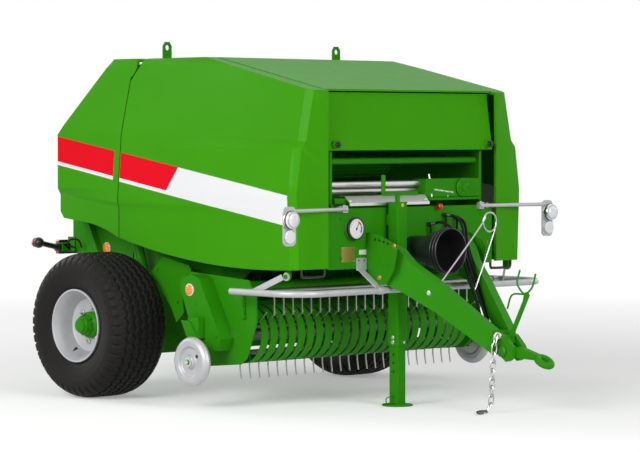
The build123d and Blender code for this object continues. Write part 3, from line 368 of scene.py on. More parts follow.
def mesh_object(name, points, faces):
    """Object from an array of points and a list of face arrays, each array for one number of corners."""
    mesh = bpy.data.meshes.new(name)
    corners = np.concatenate([group.ravel() for group in faces]).astype(np.int32)
    counts = np.concatenate([np.full(len(group), group.shape[1]) for group in faces])
    mesh.vertices.add(len(points))
    mesh.vertices.foreach_set("co", np.asarray(points, np.float32).ravel())
    mesh.loops.add(len(corners))
    mesh.loops.foreach_set("vertex_index", corners)
    mesh.polygons.add(len(counts))
    mesh.polygons.foreach_set("loop_start", np.concatenate([[0], np.cumsum(counts)[:-1]]).astype(np.int32))
    mesh.update(calc_edges=True)
    mesh.validate()
    mesh.shade_smooth()
    obj = bpy.data.objects.new(name, mesh)
    bpy.context.scene.collection.objects.link(obj)
    return obj


def grid_faces(rows, columns, wrap_rows=False, wrap_columns=False):
    """Quads of a grid of points stored row by row."""
    r = np.arange(rows if wrap_rows else rows - 1)
    c = np.arange(columns if wrap_columns else columns - 1)
    r, c = np.meshgrid(r, c, indexing="ij")
    r2, c2 = (r + 1) % rows, (c + 1) % columns
    quads = np.stack([r * columns + c, r * columns + c2, r2 * columns + c2, r2 * columns + c], axis=-1)
    return quads.reshape(-1, 4)


def stacked(rings):
    """Points and faces of closed rings joined one to the next, the first and last closed by one face each."""
    rows, columns = rings.shape[:2]
    caps = np.array([np.arange(columns)[::-1], np.arange(columns) + (rows - 1) * columns])
    return rings.reshape(-1, 3), [grid_faces(rows, columns, wrap_columns=True), caps]


def curve(rows, steps=6):
    """Smooth curve through points in millimetres.

    On each span the point is the cubic in t whose slope at either end is half the step between the
    two neighbours of that end.
    """
    p = places(rows)
    p = np.concatenate([[2 * p[0] - p[1]], p, [2 * p[-1] - p[-2]]])
    a, b, c, d = (p[i : len(p) - 3 + i, None, :] for i in range(4))
    t = np.linspace(0.0, 1.0, steps, endpoint=False)[None, :, None]
    spans = b + 0.5 * ((c - a) * t + (2 * a - 5 * b + 4 * c - d) * t**2 + (3 * b - a - 3 * c + d) * t**3)
    return np.concatenate([spans.reshape(-1, 3), p[-2:-1]])


def tube(path, radius, sides=12, closed=False):
    """A round tube: path + radius * (cos a * normal + sin a * binormal).

    The normal is the tangent crossed with the axis that the path follows least.
    """
    path = np.asarray(path, float)
    step = np.roll(path, -1, axis=0) - np.roll(path, 1, axis=0) if closed else np.gradient(path, axis=0)
    tangent = step / np.linalg.norm(step, axis=1)[:, None]
    least = np.eye(3)[np.argmin(np.abs(tangent).max(axis=0))]
    normal = np.cross(tangent, least)
    normal /= np.linalg.norm(normal, axis=1)[:, None]
    binormal = np.cross(tangent, normal)
    a = np.linspace(0.0, 2 * math.pi, sides, endpoint=False)[None, :, None]
    size = np.broadcast_to(radius, (len(path),))[:, None, None]
    rings = path[:, None, :] + size * (np.cos(a) * normal[:, None, :] + np.sin(a) * binormal[:, None, :])
    if closed:
        return rings.reshape(-1, 3), [grid_faces(len(path), sides, wrap_rows=True, wrap_columns=True)]
    return stacked(rings)


def merged(parts):
    """One set of points and faces from several."""
    shifts = np.cumsum([0] + [len(points) for points, _ in parts[:-1]])
    faces = [group + shift for (_, groups), shift in zip(parts, shifts) for group in groups]
    return np.concatenate([points for points, _ in parts]), faces


def basis(direction, up=None):
    """Matrix of unit columns: right, up and the direction itself."""
    w = np.asarray(direction, float)
    w = w / np.linalg.norm(w)
    if up is None:
        up = UP if abs(w[2]) < 0.9 else FORWARD
    v = np.asarray(up, float)
    v = v - w * np.dot(v, w)
    v = v / np.linalg.norm(v)
    return np.stack([np.cross(v, w), v, w], axis=1)


def turned(profile, centre, direction, steps=24):
    """A profile of (radius, height) in millimetres turned about the direction through centre."""
    profile = np.asarray(profile, float) / 1000
    a = np.linspace(0.0, 2 * math.pi, steps, endpoint=False)
    ring = np.stack([np.cos(a), np.sin(a), np.zeros_like(a)], axis=-1)
    local = profile[:, 0, None, None] * ring + profile[:, 1, None, None] * UP
    return stacked(local @ basis(direction).T + np.asarray(centre, float))


def plate(outline, base, direction, thick, edge=0.8, up=None):
    """A flat plate in millimetres: its outline at four levels, drawn in towards the middle at both faces."""
    outline = np.asarray(outline, float)
    reach = outline - outline.mean(axis=0)
    inner = outline - reach * (edge / np.linalg.norm(reach, axis=1, keepdims=True))
    level = np.array([0.0, edge, thick - edge, thick])[:, None, None]
    flat = np.stack([inner, outline, outline, inner])
    local = np.concatenate([flat, np.broadcast_to(level, (4, len(outline), 1))], axis=-1) / 1000
    return stacked(local @ basis(direction, up).T + np.asarray(base, float))


def oblong(width, height, radius, steps=5):
    """Outline of a rectangle with rounded corners: each corner is a quarter circle about its own centre."""
    a = np.linspace(0.0, math.pi / 2, steps)
    quarter = np.arange(4)[:, None] * math.pi / 2 + a[None, :]
    signs = np.array([(1, 1), (-1, 1), (-1, -1), (1, -1)], float)
    centre = signs * [width / 2 - radius, height / 2 - radius]
    corners = centre[:, None, :] + radius * np.stack([np.cos(quarter), np.sin(quarter)], axis=-1)
    return corners.reshape(-1, 2)


def around(count, radius, start=0.0):
    """Pairs evenly round a circle: radius * (cos a, sin a), a running once round from start."""
    a = np.arange(count) * 2 * math.pi / count + start
    return np.stack([radius * np.cos(a), radius * np.sin(a)], axis=-1)


def hoop(centre, radius, wire, right, up, steps=40, sides=8):
    """Ring of round wire in metres: centre + radius * (cos a * right + sin a * up)."""
    path = centre + around(steps, radius) @ np.stack([right, up])
    return tube(path, wire, sides, closed=True)


def bolt(centre, direction, across=17.0, height=8.0):
    """Hexagon head on a round washer, seated at centre and standing along direction."""
    flat = across / math.sqrt(3)
    rim = across * 0.72
    washer = turned([(rim, -0.4), (rim, 1.8), (across * 0.66, 2.4)], centre, direction, 16)
    head = turned([(flat, 2.2), (flat, height * 0.82), (flat * 0.84, height)], centre, direction, 6)
    return merged([washer, head])


def dome(centre, direction, radius, height):
    """Round head: radius * cos a across, height * sin a up."""
    a = np.linspace(0.0, 1.45, 6)
    rows = np.stack([radius * np.cos(a), height * np.sin(a)], axis=-1)
    return turned(np.concatenate([[(radius, -0.4)], rows]), centre, direction, 18)


def link(centre, along, across, half_length, half_width, wire, sides=8):
    """Chain link: an oval wire, along * clipped cosine plus across * sine, in millimetres."""
    t = np.linspace(0.0, 2 * math.pi, 24, endpoint=False)
    a = (half_length - half_width) * np.clip(1.7 * np.cos(t), -1, 1) + half_width * np.cos(t)
    b = half_width * np.sin(t)
    along = np.asarray(along, float) / np.linalg.norm(along)
    across = np.asarray(across, float) / np.linalg.norm(across)
    path = centre + (a[:, None] * along + b[:, None] * across) / 1000
    return tube(path, wire / 1000, sides, closed=True)


def chain(path, pitch, half_length, half_width, wire):
    """Links set along a path, every second one turned a quarter about the path."""
    path = np.asarray(path, float)
    run = np.concatenate([[0.0], np.cumsum(np.linalg.norm(np.diff(path, axis=0), axis=1))])
    count = max(2, int(round(run[-1] * 1000 / pitch)))
    spots = (np.arange(count) + 0.5) / count * run[-1]
    centres = np.stack([np.interp(spots, run, path[:, axis]) for axis in range(3)], axis=-1)
    ahead = np.stack([np.interp(spots + 0.004, run, path[:, axis]) for axis in range(3)], axis=-1)
    behind = np.stack([np.interp(spots - 0.004, run, path[:, axis]) for axis in range(3)], axis=-1)
    parts = []
    for index, (centre, along) in enumerate(zip(centres, ahead - behind)):
        frame_of = basis(along, [0.35, 0.9, 0.25])
        parts.append(link(centre, along, frame_of[:, index % 2], half_length, half_width, wire))
    return merged(parts)


def finished(name, parts, body, material, sharp=35.0):
    """Makes a piece of several meshes, gives it a material and a body, and sharpens its edges."""
    points, faces = merged(parts)
    obj = mesh_object(name, points, faces)
    outward(obj)
    obj.data.set_sharp_from_angle(angle=math.radians(sharp))
    return settled(obj, body, material)


def outward(obj):
    """Turns every face of a closed mesh outwards."""
    work = bmesh.new()
    work.from_mesh(obj.data)
    bmesh.ops.recalc_face_normals(work, faces=work.faces)
    work.to_mesh(obj.data)
    work.free()


def settled(obj, body, material, replaces=()):
    """Gives a piece its finish, the body it moves with and the solids it stands for."""
    obj.data.materials.clear()
    obj.data.materials.append(MATERIALS[material])
    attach(obj, body)
    if replaces:
        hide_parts(*replaces)
    return obj


def softened(node, material, width, wide=None, angle=28.0):
    """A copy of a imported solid, its doubles merged and its sharp edges rounded, in place of the solid.

    Where wide is (rear, front, side), the edges that lie between the first two distances ahead of the
    axle and further out than the third get the full width, and the others 0.3 of it.
    """
    mesh = frame["nodes"][node].data.copy()
    mesh.name = node + "_rounded"
    work = bmesh.new()
    work.from_mesh(mesh)
    bmesh.ops.remove_doubles(work, verts=work.verts, dist=1e-5)
    bmesh.ops.dissolve_limit(work, angle_limit=math.radians(0.8), verts=work.verts, edges=work.edges)
    if wide:
        weight = work.edges.layers.float.new("bevel_weight_edge")
        for edge in work.edges:
            if len(edge.link_faces) == 2 and edge.calc_face_angle() > math.radians(angle):
                ends = [((v.co.x - AXLE_X) * 1000, abs(v.co.y)) for v in edge.verts]
                lip = all(wide[0] < ahead < wide[1] and side > wide[2] for ahead, side in ends)
                edge[weight] = 1.0 if lip else 0.3
    work.to_mesh(mesh)
    work.free()
    mesh.shade_smooth()
    mesh.set_sharp_from_angle(angle=math.radians(angle))
    obj = bpy.data.objects.new(mesh.name, mesh)
    bpy.context.scene.collection.objects.link(obj)
    bevel = obj.modifiers.new("Edges", "BEVEL")
    bevel.width = width / 1000
    bevel.segments = 3
    bevel.limit_method = "WEIGHT" if wide else "ANGLE"
    bevel.angle_limit = math.radians(angle)
    bevel.harden_normals = True
    bevel.miter_outer = "MITER_ARC"
    return settled(obj, BODY_OF[node], material, (node,))


MATERIALS = {}
BODY_OF = {node: body for body, nodes in frame["record"]["behaviour"]["bodies"].items() for node in nodes}
# solids that keep their own mesh: rollers, rods and tines, whose edges are small or unseen
PLAIN_FINISH = {
    "zinc": ("net_rollers", "pto_shaft", "lift_rod_right", "lift_rod_left"),
    "tine_steel": ("pickup_reel", "crop_comb"),
    "tyre": ("tyre_right", "tyre_left"),
}
# finish: solid and width of its rounded edges in millimetres
ROUNDED = {
    "body_green": {"hood": 6.0, "net_lid": 5.0},
    "frame_green": {
        "lower_panel": 3.0,
        "front_walls": 2.0,
        "tail_walls": 2.0,
        "gussets": 3.0,
        "pickup_shields": 3.5,
        "pickup_bands": 2.0,
        "drawbar": 4.0,
        "drawbar_brackets": 2.5,
        "hitch_block": 4.0,
        "towing_eye": 4.0,
        "jack_tube": 4.0,
        "jack_foot": 2.5,
        "jack_crank": 1.5,
        "net_frame": 1.5,
        "net_drive": 4.0,
        "gearbox": 3.0,
        "axle_beam": 4.0,
        "hub_right": 2.5,
        "hub_left": 2.5,
        "tail_frame": 2.0,
        "lifting_eyes": 1.5,
        "guard_brackets": 1.5,
        "cover_hinges": 1.5,
        "lift_barrel_right": 1.5,
        "lift_barrel_left": 1.5,
        "lamp_bar": 2.0,
    },
    "silver": {
        "rim_right": 2.0,
        "rim_left": 2.0,
        "gauge_wheel_right": 4.0,
        "gauge_wheel_left": 4.0,
        "crop_guard": 1.5,
        "front_lamps": 1.5,
    },
    "zinc": {"pressure_gauge": 1.5},
    "black": {"pto_guard": 1.5, "stalk_lamps": 2.5},
    "rear_lamp": {"rear_lamps": 3.0},
}


class BALER_OT_materials(bpy.types.Operator):
    """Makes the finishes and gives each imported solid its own"""

    bl_idname = "baler.materials"
    bl_label = "Finishes"

    def execute(self, context):
        colours = context.scene.baler_colours
        body, frame_green = tuple(colours.body), tuple(colours.frame)
        made = {
            "body_green": paint("Cover paint", body),
            "covers": striped_paint("Striped cover paint", body, tuple(colours.red), tuple(colours.white)),
            "frame_green": paint("Frame paint", frame_green, 0.44, 0.04),
            "silver": metal("Silver paint", tuple(colours.silver), 0.44, 30.0, 0.4),
            "zinc": metal("Zinc plate", (0.72, 0.71, 0.69), 0.34),
            "bright": metal("Bright steel", (0.85, 0.85, 0.86), 0.2, 90.0),
            "tine_steel": metal("Tine steel", (0.45, 0.45, 0.43), 0.4),
            "chain_steel": metal("Chain steel", (0.5, 0.5, 0.5), 0.3),
            "iron": metal("Dark iron", (0.12, 0.12, 0.125), 0.5),
            "black": rubber("Black moulding", (0.018, 0.018, 0.019), 0.34, 0.4),
            "hose": ribbed("Hose rubber", (0.016, 0.016, 0.017)),
            "tyre": rubber("Tyre rubber", (0.017, 0.016, 0.015), 0.5, 0.1),
            "red_lens": lens("Red lens", (0.6, 0.01, 0.01)),
            "rear_lamp": backed_lens("Rear lamp", (0.6, 0.01, 0.01), AXLE_X - 0.864),
            "red_knob": paint("Red moulding", (0.65, 0.008, 0.01), 0.3, 0.6),
            # the amber reflector is no lamp: its glow of 0.25 is painted light, a glow standing in for light
            # thrown back
            "orange_lens": lens("Orange reflector", (0.95, 0.2, 0.0), 0.25),
            "white_lens": lens("White lens", (0.82, 0.82, 0.84)),
            "dial": dial("Gauge dial"),
            "brass": metal("Brass sheet", (0.62, 0.4, 0.13), 0.36),
            "label": paint("Bare white sheet", (0.8, 0.8, 0.78), 0.45, 0.1),
            "yellow": paint("Yellow mark", (0.85, 0.55, 0.02), 0.45, 0.1),
        }
        MATERIALS.update({key: finish.material for key, finish in made.items()})
        plain = {node: key for key, nodes in PLAIN_FINISH.items() for node in nodes}
        for node, obj in frame["nodes"].items():
            obj.data.materials.clear()
            obj.data.materials.append(MATERIALS[plain.get(node, "frame_green")])
        return {"FINISHED"}


# zones whose edges are rounded wide: rear and front of each in millimetres ahead of the axle, and how
# far from the middle it begins, in metres
COVER_LIPS = (1380.0, 1640.0, 0.70)
TAIL_LIPS = (-90.0, 60.0, 0.70)


class BALER_OT_panels(bpy.types.Operator):
    """Rounds the edges of covers, walls, beams and castings"""

    bl_idname = "baler.panels"
    bl_label = "Rounded edges"

    def execute(self, context):
        lip = context.scene.baler_sizes.lip * 1000
        for node in ("side_cover_right", "side_cover_left"):
            softened(node, "covers", lip, COVER_LIPS)
        softened("tail_covers", "covers", lip, TAIL_LIPS)
        for material, widths in ROUNDED.items():
            for node, width in widths.items():
                softened(node, material, width)
        return {"FINISHED"}


class BALER_OT_tyres(bpy.types.Operator):
    """Gives both tyres their moulded section, wavy grooves and shoulder notches"""

    bl_idname = "baler.tyres"
    bl_label = "Tyres"

    def execute(self, context):
        sizes = context.scene.baler_sizes
        for hand, sign in SIDES:
            low, high = (np.array(corner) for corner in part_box(f"tyre_{hand}"))
            _, half, radius = (high - low) / 2
            points, faces = treaded((low + high) / 2, half, radius, sizes.groove, sizes.ribs, sign)
            obj = mesh_object(f"tread_{hand}", points, faces)
            outward(obj)
            settled(obj, BODY_OF[f"tyre_{hand}"], "tyre", (f"tyre_{hand}",))
        return {"FINISHED"}


# radius of the tyre's bead in metres, and its grooves' middle lines as shares of the half width
BEAD = 0.212
GROOVES = (-0.62, -0.37, -0.125, 0.125, 0.37, 0.62)


def treaded(centre, half, radius, depth, waves, sign, steps=528):
    """A tyre: its section turned about Y, less the tread's cuts, plus two fine rings on each side wall."""
    sides, radii = tyre_section(half, radius)
    t = np.linspace(0.0, 2 * math.pi, steps, endpoint=False)
    turn, side = np.meshgrid(t, sides, indexing="ij")
    out = np.tile(radii, (steps, 1))
    out = out - depth * tread_cut(turn * waves / (2 * math.pi), side, half, radius - out)
    rings = np.exp(-(((out - (radius - 0.10)) / 0.006) ** 2))
    rings += np.exp(-(((out - (BEAD + 0.035)) / 0.008) ** 2))
    side = side + np.sign(side) * 0.0025 * rings * (np.abs(side / half) > 0.7)
    points = np.stack([out * np.cos(turn), sign * side, out * np.sin(turn)], axis=-1) + centre
    return points.reshape(-1, 3), [grid_faces(steps, len(sides), wrap_rows=True, wrap_columns=True)]


def tyre_section(half, radius):
    """Distances from the middle plane and radii of the section: bead, wall, crown, wall, bead and back.

    A wall bulges to half * (0.80 + 0.20 * sin(0.62 pi s) ^ 0.8) over s from bead to shoulder. The crown is
    radius - 55 mm * |s| ^ 5 over s from one shoulder to the other.
    """
    s = np.linspace(0.0, 1.0, 17)
    wall_side = half * (0.80 + 0.20 * np.sin(s * math.pi * 0.62) ** 0.8)
    wall_radius = BEAD + (radius - 0.052 - BEAD) * s
    s = np.linspace(-0.965, 0.965, 88)
    crown = radius - 0.055 * np.abs(s) ** 5.0
    back = np.array([0.74, 0.0, -0.74]) * half
    sides = np.concatenate([-wall_side[:-1], s * half, wall_side[::-1][1:], back])
    radii = np.concatenate([wall_radius[:-1], crown, wall_radius[::-1][1:], [BEAD, BEAD - 0.004, BEAD]])
    return sides, radii


def tread_cut(wave, side, half, below):
    """Share of the full depth that is cut away, where wave counts the waves round the tyre.

    A groove is cut within 8.8 mm of a zigzag about its line, a shoulder notch round the middle of each
    wave, near the edge and less than 85 mm below the crown, and a fine slit twice in each wave.
    """
    zigzag = np.abs((wave % 1.0) * 2.0 - 1.0) * 2.0 - 1.0
    cut = np.zeros_like(side)
    for line, swing in zip(GROOVES, (-0.0085, 0.0085) * 3):
        gap = np.abs(side - (line * half + swing * zigzag))
        cut = np.maximum(cut, np.clip((0.0088 - gap) / 0.003, 0.0, 1.0))
    phase = (wave + 0.25) % 1.0
    edge = np.abs(side / half)
    notch = np.clip((0.16 - np.abs(phase - 0.5)) / 0.05, 0.0, 1.0) * np.clip((edge - 0.80) / 0.05, 0.0, 1.0)
    cut = np.maximum(cut, notch * np.clip((0.085 - below) / 0.02, 0.0, 1.0) * 0.9)
    slit = np.clip((0.05 - np.abs((phase * 2 % 1.0) - 0.5)) / 0.03, 0.0, 1.0) * (edge < 0.8) * 0.35
    return np.maximum(cut, slit)


# ---------------------------------------------------------------- fittings
# what several fittings line up with, in millimetres in the terms of at()
WHEEL_SIDE, WHEEL_UP = 1079.0, 435
NUT_CIRCLE = 104
LAMP_SIDE = 1090
GUARD_SIDE = 1050
BRACKET_SIDE = 386
PANEL_FACE = 1582
SHAFT_UP = 903
JACK_AHEAD, JACK_LEFT = 1645, -190
PIN_AHEAD, PIN_UP = 2352, 350


class BALER_OT_wheels(bpy.types.Operator):
    """Adds nuts, hub caps, valves and the small wheels' bolts"""

    bl_idname = "baler.wheels"
    bl_label = "Wheel fittings"

    def execute(self, context):
        for hand, sign in SIDES:
            wheel_fittings(hand, sign)
            gauge_wheel_fittings(hand, sign)
        return {"FINISHED"}


def wheel_fittings(hand, sign):
    """Nuts on their studs, the hub's ribs and cap, and the valve."""
    out, body = LEFT * sign, f"wheel_{hand}"

    def spot(ahead, side, up):
        """A point ahead of and above the axle, and outwards from the wheel's middle plane."""
        return at(ahead, sign * (WHEEL_SIDE + side), WHEEL_UP + up)

    seats = [spot(ahead, 62, up) for ahead, up in around(6, NUT_CIRCLE, 0.3)]
    nuts = [bolt(seat, out, 22.0, 17.0) for seat in seats]
    studs = [turned([(6.5, 0), (6.5, 24), (5, 26)], seat, out, 12) for seat in seats]
    finished(f"wheel_nuts_{hand}", nuts + studs, body, "zinc")
    rib = [(-4, -26), (4, -26), (3, 18), (-3, 18)]
    ribs = [
        plate(rib, spot(ahead, 80, up), out, 34, 1.5, up=(-up, 0.0, ahead))
        for ahead, up in around(6, 58)
    ]
    cap = turned([(44, 136), (44, 144), (40, 150), (26, 154), (8, 155)], spot(0, 0, 0), out, 32)
    finished(f"hub_star_{hand}", ribs + [cap], body, "frame_green")
    valve = tube([spot(0, 176, -138), spot(0, 194, -148)], 0.0045, 10)
    collar = tube([spot(0, 168, -134), spot(0, 180, -140)], 0.008, 12)
    finished(f"valve_{hand}", [valve, collar], body, "black")


def gauge_wheel_fittings(hand, sign):
    """Bolt and washer on the outer side of a small wheel, and a black disc of painted shade where its hole
    is.
    """
    out, body = LEFT * sign, f"gauge_{hand}"

    def spot(ahead, side, up):
        """A point ahead of and above the small wheel's axle, and outwards from its middle plane."""
        return at(966 + ahead, sign * (1179 + side), 272 + up)

    nut = bolt(spot(0, 36, 0), out, 24.0, 16.0)
    ring = turned([(26, 10), (26, 15), (20, 17), (16, 17)], spot(0, 22, 0), out, 28)
    [(ahead, up)] = around(1, 60, 0.6)
    # black disc: painted shade standing in for the dark inside the dish's hole
    hole = turned([(11, -1), (11, 0.8), (10, 1.2)], spot(ahead, 11.5, up), out, 20)
    finished(f"gauge_wheel_hole_shade_{hand}", [hole], body, "black")
    finished(f"gauge_wheel_cap_{hand}", [nut, ring], body, "zinc")


class BALER_OT_lamps(bpy.types.Operator):
    """Adds lenses, bezels and reflectors"""

    bl_idname = "baler.lamps"
    bl_label = "Lamps and reflectors"

    def execute(self, context):
        for hand, sign in SIDES:
            front_lamp(hand, sign)
            reflectors(hand, sign)
            rear_lamp(hand, sign)
        return {"FINISHED"}


def front_lamp(hand, sign):
    """Glass in its bezel and ring, the white reflector under it, and the collars and screws of its arm."""
    front = at(1680, sign * LAMP_SIDE, 1102)
    bezel = turned([(47, 0), (50, 6), (50, 30), (47, 36), (42, 37), (41, 33)], front, FORWARD, 40)
    finished(f"lamp_bezel_{hand}", [bezel], "chassis", "bright")
    glass = turned([(41, 30), (40, 38), (34, 43), (20, 47), (6, 48)], front, FORWARD, 40)
    finished(f"lamp_glass_{hand}", [glass], "chassis", "white_lens")
    ring = turned([(51, 14), (52.5, 16), (52.5, 22), (51, 24)], front, FORWARD, 40)
    finished(f"lamp_ring_{hand}", [ring], "chassis", "black")
    low = at(1687, sign * LAMP_SIDE, 1007)
    dot = turned([(38, 0), (38, 5), (35, 8), (20, 9), (5, 9)], low, FORWARD, 36)
    finished(f"front_reflector_{hand}", [dot], "chassis", "white_lens")
    collars = [
        tube(places([(1599, sign * side, 1150), (1601, sign * (side + 18), 1150)]), 0.0165, 20)
        for side in (566, 610)
    ]
    seats = [at(1594, sign * 575, 1168), at(1600, sign * 1012, 1140)]
    screws = [bolt(seat, UP, 13.0, 7.0) for seat in seats]
    finished(f"lamp_collars_{hand}", collars + screws, "chassis", "silver")


# amber reflectors on each side: name, body, and ahead, side, up
REFLECTORS = (("guard", "pickup", (798, GUARD_SIDE, 675)), ("tail", "tailgate", (-446, 640, 868)))


def reflectors(hand, sign):
    """Amber discs in white rims, facing outwards."""
    out = LEFT * sign
    for name, body, (ahead, side, up) in REFLECTORS:
        seat = at(ahead, sign * side, up)
        rim = turned([(36, -0.5), (36, 4), (33, 6), (30, 6)], seat, out, 36)
        finished(f"{name}_reflector_rim_{hand}", [rim], body, "label")
        eye = turned([(31, 2), (31, 7), (28, 9.5), (14, 11), (4, 11)], seat, out, 36)
        # the amber eye's finish carries a faint painted glow
        finished(f"{name}_reflector_{hand}", [eye], body, "orange_lens")


def rear_lamp(hand, sign):
    """Red cap of the lamp on its stalk, and the wire bow behind the rear lamp."""
    cap = turned([(26, 0), (30, 6), (28, 14), (18, 20), (5, 22)], at(-846, sign * 885, 897), -FORWARD, 28)
    finished(f"marker_lens_{hand}", [cap], "tailgate", "red_lens")
    bow = [(ahead, sign * 500, up) for ahead, up in ((-850, 819), (-886, 819), (-886, 909), (-850, 909))]
    finished(f"rear_lamp_wire_{hand}", [tube(curve(bow, 3), 0.004, 8)], "tailgate", "iron")


class BALER_OT_gauge(bpy.types.Operator):
    """Adds the gauge's rim, dial and needle, and the blank plates beside it"""

    bl_idname = "baler.gauge"
    bl_label = "Gauge and plates"

    def execute(self, context):
        seat = at(1610, *DIAL_CENTRE)
        rim = turned([(66, -6), (66, 8), (63, 12), (57, 12), (57, 8)], seat, FORWARD, 48)
        finished("gauge_rim", [rim], "chassis", "black")
        face = turned([(57, 0), (57, 9), (50, 9.6), (4, 9.8)], seat, FORWARD, 48)
        finished("gauge_face", [face], "chassis", "dial")
        pointer = [(-2.5, -12), (2.5, -12), (0.7, 40), (-0.7, 40)]
        needle = plate(pointer, seat + FORWARD * 0.0104, FORWARD, 1.2, 0.2, up=(0, 0.5, 0.9))
        boss = turned([(6, 10), (6, 13), (4, 14)], seat, FORWARD, 20)
        finished("gauge_needle", [needle, boss], "chassis", "black")
        left, up = -530, 888.5
        brass = plate(oblong(108, 89, 4), at(PANEL_FACE, left, up), FORWARD, 1.4, 0.4)
        finished("maker_place", [brass], "chassis", "brass")
        corners = [(left + a * 49, up + b * 39) for a in (-1, 1) for b in (-1, 1)]
        rivets = [dome(at(PANEL_FACE + 1.2, *corner), FORWARD, 3.0, 1.8) for corner in corners]
        finished("maker_place_rivets", rivets, "chassis", "zinc")
        blank = plate(oblong(62, 28, 3), at(PANEL_FACE, -412, 899), FORWARD, 0.8, 0.2)
        finished("blank_label", [blank], "chassis", "label")
        return {"FINISHED"}


class BALER_OT_net_gear(bpy.types.Operator):
    """Adds the folded tray, levers, knob and screws in the net compartment"""

    bl_idname = "baler.net_gear"
    bl_label = "Net compartment"

    def execute(self, context):
        finished("net_tray", [net_tray()], "chassis", "zinc", sharp=25)
        grip = [(6, 0), (7, 16), (16, 22), (19, 30), (17, 40), (8, 45)]
        knob = turned(grip, at(1583, 199, 1150), FORWARD, 28)
        finished("net_knob", [knob], "chassis", "red_knob")
        screws = [dome(at(1578, left, 1197), (1, 0, 1), 7, 5) for left in (-508, 114)]
        levers = [
            tube(curve([(1552, left, 1206), (1540, left + 6, top - 60), (1520, left + 10, top)]), 0.006, 10)
            for left, top in ((191, 1341), (330, 1300), (407, 1278))
        ]
        finished("net_fittings", screws + levers + [net_spring()], "chassis", "zinc")
        left, up = 452, 1262
        round_box = [(50, 0), (56, 3), (56, 12), (50, 16), (24, 17), (22, 24), (8, 25)]
        drum = [turned(round_box, at(1556, left, up), FORWARD, 40)]
        drum += [bolt(at(1571, left + a, up + b), FORWARD, 10, 6) for a, b in around(6, 38)]
        finished("net_drum", drum, "chassis", "frame_green")
        return {"FINISHED"}


def net_tray():
    """A folded sheet: its section carried to the left, drawn in to 0.96 over a millimetre at each end."""
    section = [(1593, 1167), (1593, 1183), (1552, 1222), (1508, 1222)]
    section += [(1508, 1218), (1550, 1218), (1587, 1181), (1587, 1167)]
    ends = np.array([[(ahead, left, up) for ahead, up in section] for left in (-527, -526, 133, 134)], float)
    rings = places(ends.reshape(-1, 3)).reshape(4, len(section), 3)
    middle = rings.mean(axis=1, keepdims=True)
    rings[[0, 3]] = middle[[0, 3]] + (rings[[0, 3]] - middle[[0, 3]]) * 0.96
    return stacked(rings)


def net_spring():
    """A coil of 16 turns: run * (170 mm left, 20 mm down) + 11 mm * (cos a ahead, sin a up)."""
    run = np.linspace(0, 1, 200)
    turn = run * 2 * math.pi * 16
    coil = 0.011 * (np.outer(np.cos(turn), FORWARD) + np.outer(np.sin(turn), UP))
    coil += at(1545, 210, 1250) + np.outer(run, [0.0, 0.17, -0.02])
    return tube(coil, 0.0018, 6)


class BALER_OT_fasteners(bpy.types.Operator):
    """Adds bolts, screws and knobs where sheets and brackets are held"""

    bl_idname = "baler.fasteners"
    bl_label = "Fasteners"

    def execute(self, context):
        steel, brass, green, pickup, black, knobs = [], [], [], [], [], []
        for hand, sign in SIDES:
            out = LEFT * sign
            for ahead, up in ((1808, 940), (1691, 755)):
                brass.append(bolt(at(ahead, sign * BRACKET_SIDE, up), out, 20, 8))
            # black discs where the bracket's holes are: painted shade standing in for the dark inside each
            # hole
            for ahead, up in ((1656, 973), (1690, 968), (1724, 961), (1758, 952)):
                seat = at(ahead, sign * BRACKET_SIDE, up)
                black.append(turned([(8.5, -1), (8.5, 0.5), (8, 0.7)], seat, out, 20))
            for ahead, up in ((273, 771), (459, 586)):
                green.append(bolt(at(ahead, sign * 846, up), out, 19, 9))
            for ahead, up in ((847, 596), (920, 447)):
                pickup.append(dome(at(ahead, sign * GUARD_SIDE, up), out, 9, 6))
            for ahead, up in ((1443, 1843), (1327, 1873)):
                steel.append(dome(at(ahead, sign * 699, up), out, 8, 6))
            side, up = sign * 640, 1520
            knobs.append(turned([(9, 0), (10, 10), (10, 20), (6, 23)], at(1606, side, up), FORWARD, 20))
            knobs += [dome(at(1614, side + a, up + b), FORWARD, 8, 9) for a, b in around(6, 14)]
            lock = turned([(15, 0), (15, 5), (11, 7), (4, 7)], at(1206, sign * 880, 1023), out, 24)
            finished(f"cover_lock_{hand}", [lock], f"cover_{hand}", "chain_steel")
            green += [bolt(at(PANEL_FACE, sign * 590, up), FORWARD, 15, 7) for up in (1098, 868)]
        steel += [bolt(at(PANEL_FACE + 1, left, 852), FORWARD, 14, 7) for left in (-452, -408)]
        steel.append(bolt(at(1954, -250, 671), (0.4, -0.9, 0), 20, 10))
        steel += [bolt(at(1642, a, SHAFT_UP + b), FORWARD, 13, 7) for a, b in around(6, 72)]
        finished("frame_bolts", steel, "chassis", "chain_steel")
        finished("bracket_bolts", brass, "chassis", "brass")
        finished("painted_bolts", green, "chassis", "frame_green")
        finished("pickup_bolts", pickup, "pickup", "frame_green")
        finished("bracket_hole_shade", black, "chassis", "black")
        finished("lid_knobs", knobs, "lid", "black")
        stops = [
            plate(oblong(70, 12, 3), at(-20, -250, 2034.5), UP, 4, 1, up=FORWARD),
            plate(oblong(120, 16, 4), at(420, 620, 2034.5), UP, 5, 1, up=FORWARD),
        ]
        finished("roof_stops", stops, "chassis", "black")
        return {"FINISHED"}


